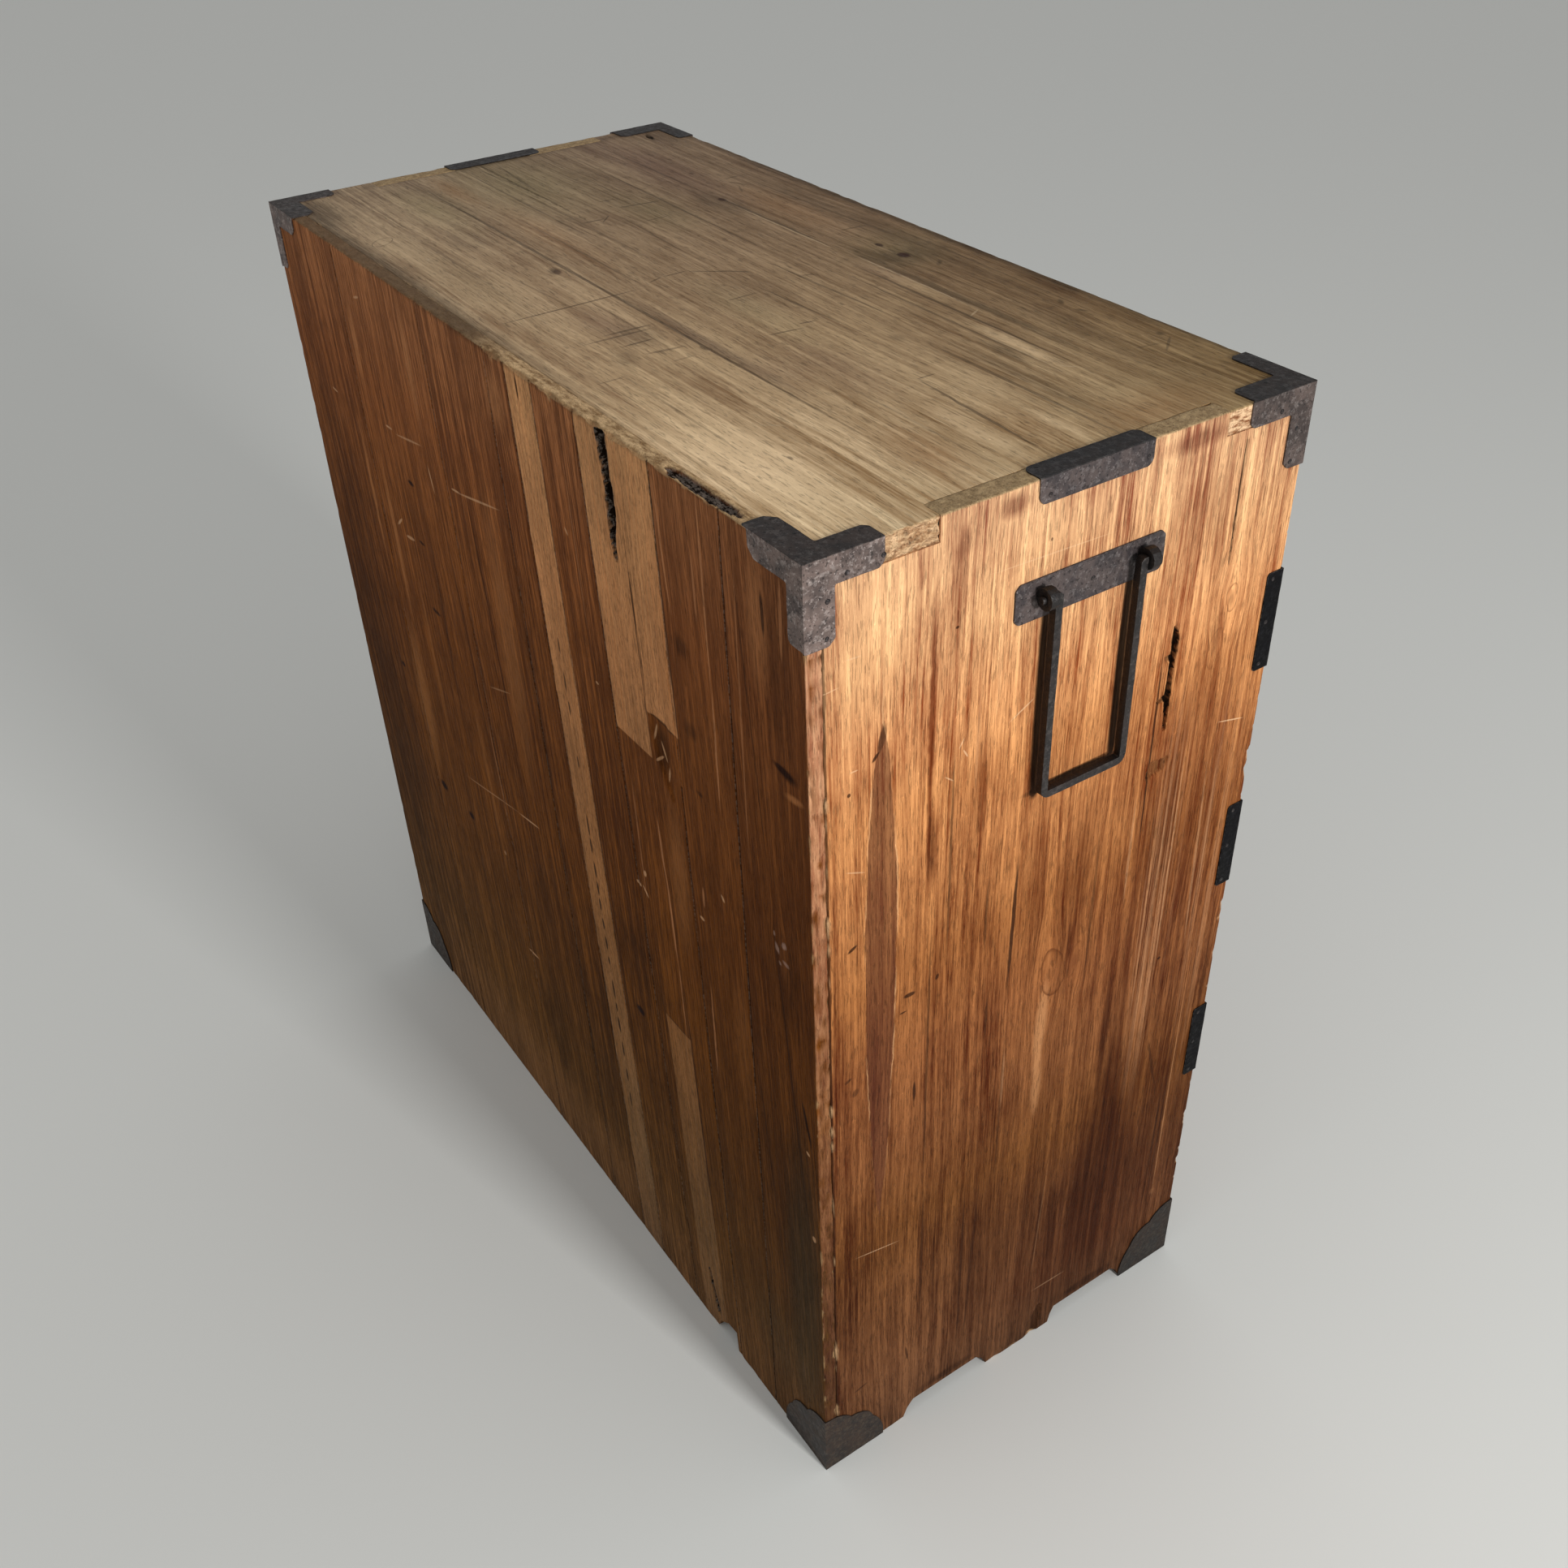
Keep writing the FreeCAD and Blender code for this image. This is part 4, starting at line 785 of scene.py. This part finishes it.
    whorl = marks(tree, shaken(tree, axes, across, 4.0, 6.0), along, [
        (-417, 641, 3.4, 5, 1.0, 30), (-408, 633, 2.6, 6, 0.9, -20), (-419, 624, 5, 2.6, 0.8, 10),
        (-405, 645, 2, 3, 0.8), (-411, 620, 3, 2, 0.7, 30)], 2.0)
    wood = tinted(tree, wood, whorl, "#A08070", 0.7)
    near_edge = ramp(tree, across, -453.4, -454.3)
    torn = cloud(tree, axes, (4, 4, 36), 0.32, 0.68, 3.0, 0.65)
    strip = blend(tree, torn, *graded(
        tree, height, (0.0, "#3A2214", "#5E4029"), (1.0, "#A2684A", "#E2B088"),
        (0.2, "#452616", "#6A442C"), (0.5, "#643A22", "#966642"), (0.8, "#945A3E", "#CC966E")))
    wood = tinted(tree, wood, near_edge, strip)
    crown = ramp(tree, along, 968.0, 969.2)
    grain_ends = cloud(tree, axes, (16, 5, 5), 0.38, 0.62, 4.0, 0.7)
    worn = blend(tree, grain_ends, "#8E6E4A", "#E0BD8F")
    dull = ramp(tree, across, -60.0, 20.0, 1.0, 0.12)
    wood = tinted(tree, tinted(tree, wood, crown, "#5F4E3B", 0.85), crown, worn, dull)
    wood = tinted(tree, wood, times(tree, raw, dull), "#C3A074", 0.85)
    grey_fibres = cloud(tree, axes, (5, 2.2, 2.2), 0.44, 0.56, 3.0, 0.7)
    silver = times(tree, grey_fibres, ramp(tree, dirt_and_shade, 0.98, 0.9))
    hollows = blend(tree, silver, "#070504", "#6B6159")
    wood = tinted(tree, wood, ramp(tree, dirt_and_shade, 0.0, 0.7), hollows, 0.98)
    wood_shader(tree, wood, figure, 0.0, 0.45, 0.75, 0.02)
    return material


def plank_ends(point, moved):
    """Wears the planks' upper ends to a ragged slope, rots a hollow beside the corner iron, and
    tears the edge that shows on the end of the chest."""
    dirty, bare = 0.0, 0.0
    if point.y > 214 and point.z > 955 and -392 < point.x < 415:
        ragged = noise.noise(Vector((point.x / 24, 3, 0))) + 0.6 * noise.noise(Vector((point.x / 9, 9, 0)))
        slope = max(0.6, (2.8 if -300 < point.x < -20 else 1.4) + 2.6 * ragged)
        out = max(0.0, (point.y - rear_face) / slope + 1.0)
        down = full_height - slope * out
        if out > 0 and point.z > down:
            moved.z = min(moved.z, down)
            bare = min(1.0, 1.6 * out) * (0.6 + 0.5 * noise.noise(point / 6))
        half = 4.2 + 1.8 * noise.noise(Vector((point.x / 12, 1, 0)))
        half *= min(1.0, max(0.0, point.x + 385) / 14, max(0.0, -288 - point.x) / 10)
        if point.z > 961 and abs(point.y - 221.4) < half:
            moved.z = min(moved.z, 966.3 + 1.8 * noise.noise(point / 8))
            dirty, bare = 0.72, 0.0
    if point.x < -453.4 and point.z < 905:
        moved.x += max(0.0, 0.3 + 1.1 * noise.noise(Vector((point.y / 5, point.z / 14, 5))))
        moved.x += max(0.0, 2.2 * noise.noise(Vector((point.y / 4, point.z / 7, 8))) - 0.9)
    if point.y > 226 and min(abs(point.x - seam) for seam in seams_at(point.z)) < seam_width / 2:
        moved.y -= seam_depth
        dirty = max(dirty, 0.6)
    return moved, dirty, bare


def lean_cuts(bm):
    """Cuts beside each seam, so that its arrises can be eased."""
    reach, beside = 60, 1.6
    for top, foot in seams:
        square = Vector((full_height, 0, foot - top)).normalized()
        for shift in (-beside, beside):
            near = whole(f for f in bm.faces
                         if abs(f.calc_center_median().x * 1000 - (top + foot) / 2) < reach)
            bmesh.ops.bisect_plane(bm, geom=near, dist=0.000001,
                                   plane_co=Vector((top + shift, 0, full_height)) / 1000, plane_no=square)


open_split = [(-206, 964, 7.0), (-208.5, 950, 6.0), (-209.5, 935, 5.0), (-212, 925, 5.4),
              (-212, 905, 6.0), (-211, 893, 5.0), (-210.5, 882, 3.4), (-213, 868, 1.4)]
torn_spot = [(-254, 747, 14), (-254, 728, 14), (-257, 712, 9), (-263, 695, 6), (-267, 682, 2)]
low_split = [(-253, 86, 1.0), (-258, 60, 2.2), (-266, 28, 3.0)]
back_strokes = [(open_split, 9.0, 1.0), (torn_spot, 1.4, 0.0), (low_split, 5.0, 1.0)]
upper_arris = (lambda m, n: m.z > 960 and m.y > 214,
               [(0, evenly(-400, 420, 2.4)), (1, evenly(214, 226, 2.0))])
torn_edge = (lambda m, n: m.x < -454 and m.z < 910, [(2, evenly(4, 905, 3.2))])
back_mesh = worn_board("back_boards", (8, 0, 8), 0.8, 5.0, back_strokes, (0, 2, 1, rear_face, 1),
                       shape=plank_ends, finer=[upper_arris, torn_edge], prepare=lean_cuts)
layer = back_mesh.verts.layers.float.new("plank")
for vert in back_mesh.verts:
    point = vert.co * 1000
    vert[layer] = plank_tones[sum(point.x < seam for seam in seams_at(point.z))]
settle(back_mesh, "rear_planks", "carcass", cedar_back(), "cedar_back", "back_boards")

# ---- Irons on the carcass -------------------------------------------------------
# Corner irons, straps and handle plates of sheet iron, cut cold, hammered over the corners
# and nailed on. Their black scale is worn grey on the arrises and browned in the hollows.


def forged_iron(name, scale, browned, worn, metal=0.3, gloss=0.35):
    """Hammered sheet iron: dark scale with brown and grey mottling, brighter where it is rubbed, with
    painted shade on its top faces, and grime with painted shade on the faces that the mesh marks.
    """
    material, tree = new_finish(name)
    rubbed, dirt_and_shade = mesh_masks(tree, "rubbed", "dirt_and_shade")
    axes = millimetres(tree)
    wide = cloud(tree, axes, (14, 14, 14), 0.38, 0.62, 3.0, 0.6)
    mottle = cloud(tree, axes, (4.5, 4.5, 4.5), 0.4, 0.64, 3.0, 0.7)
    specks = cloud(tree, axes, (1.6, 1.6, 1.6), 0.6, 0.7, 2.0)
    pits = cloud(tree, axes, (2.4, 2.4, 2.4), 0.58, 0.66, 2.0)
    colour = blend(tree, wide, scale, browned)
    grey = weigh(tree, 0.28, (mottle, 0.8), (specks, 0.6))
    colour = tinted(tree, colour, grey, worn, 0.85)
    colour = tinted(tree, colour, pits, "#15100F", 0.65)
    front = ramp(tree, axes[1], 120.0, -160.0)
    colour = shaded(tree, colour, front, 0.58)
    # Painted shade: the irons' faces on top of the lid are darkened, as the low light barely reaches them.
    painted_top_shade = ramp(tree, axes[2], 970.1, 970.5)
    colour = shaded(tree, colour, painted_top_shade, 0.24)
    bright = times(tree, rubbed, mottle)
    colour = tinted(tree, colour, bright, "#B9B0A9", 0.6)
    # The marked faces go almost black: grime with painted shade on the bails' and eyes' sides and on the
    # nail heads' rims.
    colour = tinted(tree, colour, dirt_and_shade, "#0B0807", 0.88)
    rough = weigh(tree, 0.56, (mottle, -0.14), (wide, 0.1))
    height = weigh(tree, 0.5, (mottle, 0.5), (pits, -0.6), (specks, 0.2))
    surfaced(tree, colour, rough, gloss, height, 0.6, 0.0006, metal)
    return material


def occupied(bm, axis, step):
    """Cutting places along an axis, a step apart, only where the mesh has faces."""
    spans = sorted((min(v.co[axis] for v in f.verts) * 1000, max(v.co[axis] for v in f.verts) * 1000)
                   for f in bm.faces)
    joined = [list(spans[0])]
    for low, high in spans[1:]:
        if low > joined[-1][1] + step:
            joined.append([low, high])
        joined[-1][1] = max(joined[-1][1], high)
    return [place for low, high in joined for place in evenly(low, high, step)]


def ease(bm, width, segments=2, angle=24, longest=math.inf):
    """Bevels the edges that turn by more than an angle in degrees and are shorter than longest."""
    edges = [e for e in bm.edges if e.is_manifold and e.calc_face_angle() > math.radians(angle)
             and e.calc_length() < longest]
    bmesh.ops.bevel(bm, geom=edges, offset=width / 1000, segments=segments, affect="EDGES", profile=0.5,
                    material=-1, clamp_overlap=True)


def forged(node, corner, arris, step, dent, lowered=0.0, grime_and_side_shade=0.0):
    """A copy of an iron node with its outline's corners rounded, its arrises dressed off, and
    the unevenness that the hammer leaves, all inside the drawn sheet. The last argument is how
    dark the faces are that do not face along x: grime where no hand rubs, and painted shade."""
    bm = merged(node)
    low, high = (place * 1000 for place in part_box(node))
    through_the_sheet = 0.0013
    if corner:
        ease(bm, corner, 4, 20, through_the_sheet)
    ease(bm, arris)
    if step:
        cut_grid(bm, [(axis, occupied(bm, axis, step)) for axis in range(3)])
    bm.normal_update()
    rubbed = bm.verts.layers.float.new("rubbed")
    dirt_and_shade = bm.verts.layers.float.new("dirt_and_shade")
    for vert in bm.verts:
        point = vert.co * 1000
        # Faces that do not face along x are marked dark: grime where no hand rubs, and painted shade on the
        # sides turned from the light.
        vert[dirt_and_shade] = grime_and_side_shade * max(0.0, min(1.0, 1.5 - 2 * abs(vert.normal.x)))
        vert[rubbed] = max(0.0, min(1.0, (vert.calc_shell_factor() - 1.02) * 5))
        beaten = dent * (0.5 + noise.noise(point / 7) + 0.4 * noise.noise(point / 2.5))
        vert.co -= vert.normal * max(0.0, beaten) / 1000
        if lowered and point.z > high.z - 0.1:
            vert.co.z -= lowered / 1000
        vert.co = Vector([min(max(vert.co[i], low[i] / 1000), high[i] / 1000) for i in range(3)])
    return bm


def nail_heads(places, name, material):
    """Low domed nail heads, each (centre, outward normal, radius), as one piece, dark at the rim with grime
    and a painted ring of shade.
    """
    rise, clean_radius = 0.5, 1.2
    bm = bmesh.new()
    for index, (centre, out, radius) in enumerate(places):
        turn = Vector(out).to_track_quat("Z", "Y").to_matrix().to_4x4()
        squash = Matrix.Diagonal((radius / 1000, radius / 1000, rise / 1000, 1.0))
        wobble = Matrix.Diagonal((1.0 + 0.14 * math.sin(index * 2.3), 1.0, 1.0, 1.0))
        bmesh.ops.create_uvsphere(bm, u_segments=14, v_segments=8, radius=1.0,
                                  matrix=Matrix.Translation(Vector(centre) / 1000) @ turn @ wobble @ squash)
    dirt_and_shade = bm.verts.layers.float.new("dirt_and_shade")
    bm.verts.ensure_lookup_table()
    # Each head's rim is marked dark: grime and a painted ring of shade where the head meets the sheet.
    for vert in bm.verts:
        centre = places[vert.index // (len(bm.verts) // len(places))][0]
        ring = (vert.co * 1000 - Vector(centre)).length
        vert[dirt_and_shade] = max(0.0, min(1.0, (ring - clean_radius) / 0.5))
    return settle(bm, name, "carcass", material, "forged_iron", smooth=80)


iron = forged_iron("forged_iron_scale", "#40393A", "#5C504D", "#938A88")
rubbed_iron = forged_iron("forged_iron_worn_grey", "#524642", "#786760", "#BBAEA8")
floor_iron = forged_iron("forged_iron_browned", "#1F1611", "#35271E", "#51422F", 0.15)
black = forged_iron("blackened_iron", "#070709", "#0E0D11", "#26262B", 0.0, 0.08)
for node, name, corner, dent, lowered, finish, slot in (
        ("top_corner_irons", "corner_irons_above", 2.0, 0.22, 0.2, rubbed_iron, "forged_iron"),
        ("bottom_corner_irons", "corner_irons_below", 0.8, 0.22, 0.0, floor_iron, "forged_iron"),
        ("top_edge_straps", "straps_above", 2.0, 0.2, 0.2, iron, "forged_iron"),
        ("side_handle_plates", "handle_plates", 2.4, 0.2, 0.0, iron, "forged_iron"),
        ("front_edge_straps", "edge_straps", 1.2, 0.15, 0.0, black, "black_iron")):
    settle(forged(node, corner, 0.4, 3.0, dent, lowered), name, "carcass", finish, slot, node)
# The heads' middles: a little inside the sheets' faces, and on the top and the rear so deep
# that no head stands past the drawn irons.
sheet = 1.2
wall = end_face + sheet - 0.1
roof = full_height + sheet - 0.55
rear = rear_face + sheet - 0.55
heads = []
for side in (-1, 1):
    for y, z in ((195, 955), (209.5, 940), (210.5, 914), (167.5, 958), (-182, 956), (-200.5, 938.5),
                 (-199.5, 913), (33.5, 957.5), (-53, 959), (-12, 881)):
        heads.append(((side * wall, y, z), (side, 0, 0), 1.9))
    for x, y in ((439, 172.5), (440, 194.5), (396, 208.5), (420, 208.5), (436, -183.5), (436, -157.5),
                 (440, -50), (440, 33.5)):
        heads.append(((side * x, y, roof), (0, 0, 1), 1.7))
    for x, z in ((431, 957.5), (442, 949), (401, 957), (441, 916)):
        heads.append(((side * x, rear, z), (0, 1, 0), 1.7))
    for level in (777, 555, 317):
        for shift in (-38, 0, 38):
            heads.append(((side * wall, -203.5, level + shift), (side, 0, 0), 2.0))
nail_heads(heads, "carcass_nails", iron)

# ---- End handles ----------------------------------------------------------------
# Long square-section bails, their ends drawn down to round pins and sprung into the eyes
# of split posts that go through the plate and the board.

bar_iron = forged_iron("forged_bar_iron", "#1F1B1A", "#332B28", "#5D5653", 0.15)
post_iron = forged_iron("rubbed_eye_iron", "#1A1615", "#26201E", "#4C4643", 0.15)
# The bails and the eyes are marked dark on their sides: grime and painted shade.
for side in ("left", "right"):
    bail = "side_handle_" + side
    settle(forged(bail, 0, 0.5, 4.0, 0.25, grime_and_side_shade=0.9), "bail_" + side, side + "_handle", bar_iron,
           "forged_iron", bail)
settle(forged("side_handle_posts", 0, 1.0, 0, 0.1, grime_and_side_shade=0.8), "handle_eyes", "carcass", post_iron,
       "forged_iron", "side_handle_posts")

# ---- Drawer front side ------------------------------------------------------------
# Fronts, rails and the safe door of zelkova under clear lacquer, rubbed by use, with the
# same forged plates, pulls and hinges; boxes and inner boards of plain paulownia.


def zelkova():
    """Keyaki under worn clear lacquer: bold open growth rings in amber brown."""
    material, tree = new_finish("lacquered_zelkova")
    axes = millimetres(tree)
    along, depth, across = axes
    drift = cloud(tree, (along, across, depth), (240, 60, 60), 0.0, 1.0, 1.0)
    bent = swayed(tree, across, drift, 95.0)
    rings = cloud(tree, (along, bent, depth), (900, 6.5, 60), 0.36, 0.64, 2.0)
    fibres = cloud(tree, (along, across, depth), (26, 1.0, 1.0), 0.3, 0.7, 2.0, 0.65)
    pores = cloud(tree, (along, bent, depth), (14, 0.8, 0.8), 0.6, 0.7, 1.0)
    blotches = cloud(tree, axes, (150, 60, 70), 0.33, 0.67, 2.0, 0.6)
    tone = weigh(tree, 0.5, (rings, 0.62), (fibres, 0.22), (blotches, 0.4))
    wood = add(tree, "ValToRGB", tone, stops=[
        (0.0, "#3B1C0E"), (1.0, "#B87A45"), (0.35, "#6B3819"), (0.7, "#93562B")])
    wood = shaded(tree, wood, pores, 0.5)
    rough = weigh(tree, 0.36, (fibres, -0.1), (blotches, 0.16))
    surfaced(tree, wood, rough, 0.35, weigh(tree, 0.5, (rings, 0.5), (pores, -0.5)), 0.3, 0.0004)
    return material


def paulownia():
    """Kiri, planed and left bare inside, gone a dull straw brown."""
    material, tree = new_finish("bare_paulownia")
    axes = millimetres(tree)
    lines = cloud(tree, axes, (300, 40, 4), 0.35, 0.65, 2.0)
    fibres = cloud(tree, axes, (22, 22, 1.2), 0.3, 0.7, 2.0, 0.6)
    tone = weigh(tree, 0.5, (lines, 0.5), (fibres, 0.4))
    wood = blend(tree, tone, "#7F6243", "#B4976E")
    surfaced(tree, wood, 0.68, 0.25, fibres, 0.3, 0.0003)
    return material


finishes = {"zelkova_front": zelkova(), "paulownia_inside": paulownia(), "forged_iron": iron,
            "black_iron": black}
for name, node in frame["nodes"].items():
    if node.hide_render:
        continue
    slot = node.data.materials[0].name
    body = body_of(node)[0]
    if slot == "zelkova_front":
        eased = merged(name)
        ease(eased, 0.8)
        settle(eased, name + "_dressed", body, finishes[slot], slot, name)
    elif slot == "forged_iron" and any(word in name for word in ("pull", "strap", "lock", "hinge_l")):
        bail = name.endswith(("pull", "pull_left", "pull_right"))
        settle(forged(name, 0, 0.3, 0, 0.08), name + "_forged", body, bar_iron if bail else iron, slot, name)
    else:
        node.data.materials.clear()
        node.data.materials.append(finishes[slot])

# ---- Floor, light and camera --------------------------------------------------------
# A plain pale floor, soft light from beyond the near end, and the camera at eye height.

floor_mesh = bmesh.new()
bmesh.ops.create_grid(floor_mesh, x_segments=1, y_segments=1, size=12.0)
mesh = bpy.data.meshes.new("floor")
floor_mesh.to_mesh(mesh)
floor_mesh.free()
floor = put("floor", mesh)
floor_paint, tree = new_finish("pale_floor")
surfaced(tree, linear("#DCDDD9"), 0.8, 0.2)
mesh.materials.append(floor_paint)

world = bpy.data.worlds.new("studio")
world.use_nodes = True
tree = world.node_tree
tree.nodes.clear()
seen = add(tree, "LightPath").node.outputs["Is Camera Ray"]
sky = add(tree, "Background", linear("#FFFFFF"), 0.48)
backdrop = add(tree, "Background", linear("#B9BAB7"), 1.0)
add(tree, "OutputWorld", Surface=add(tree, "MixShader", seen, sky, backdrop))
bpy.context.scene.world = world


def lamp(name, place, target, size, power):
    """A square soft box aimed at a point."""
    data = bpy.data.lights.new(name, "AREA")
    data.size = size
    data.energy = power
    thing = put(name, data)
    thing.location = place
    thing.rotation_euler = (Vector(target) - Vector(place)).to_track_quat("-Z", "Y").to_euler()


lamp("key", (-3.6, -0.3, 1.7), (0, 0, 0.6), 0.5, 90)
lamp("fill", (0.3, 3.0, 2.6), (0, 0, 0.6), 2.4, 8)

eye = Vector((-1.13864, 0.68613, 1.42356))
ahead = Vector((0.67456, -0.43489, -0.59652)).normalized()
right = Vector((-0.56070, -0.82745, -0.03081)).normalized()
up = right.cross(ahead).normalized()
camera_data = bpy.data.cameras.new("camera")
camera_data.lens = 36.54
camera_data.sensor_width = 36.0
camera_data.clip_start = 0.01
camera = put("camera", camera_data)
turn = Matrix((right, up, -ahead)).transposed().to_4x4()
camera.matrix_world = Matrix.Translation(eye) @ turn
bpy.context.scene.camera = camera
bpy.context.scene.view_settings.view_transform = "Standard"
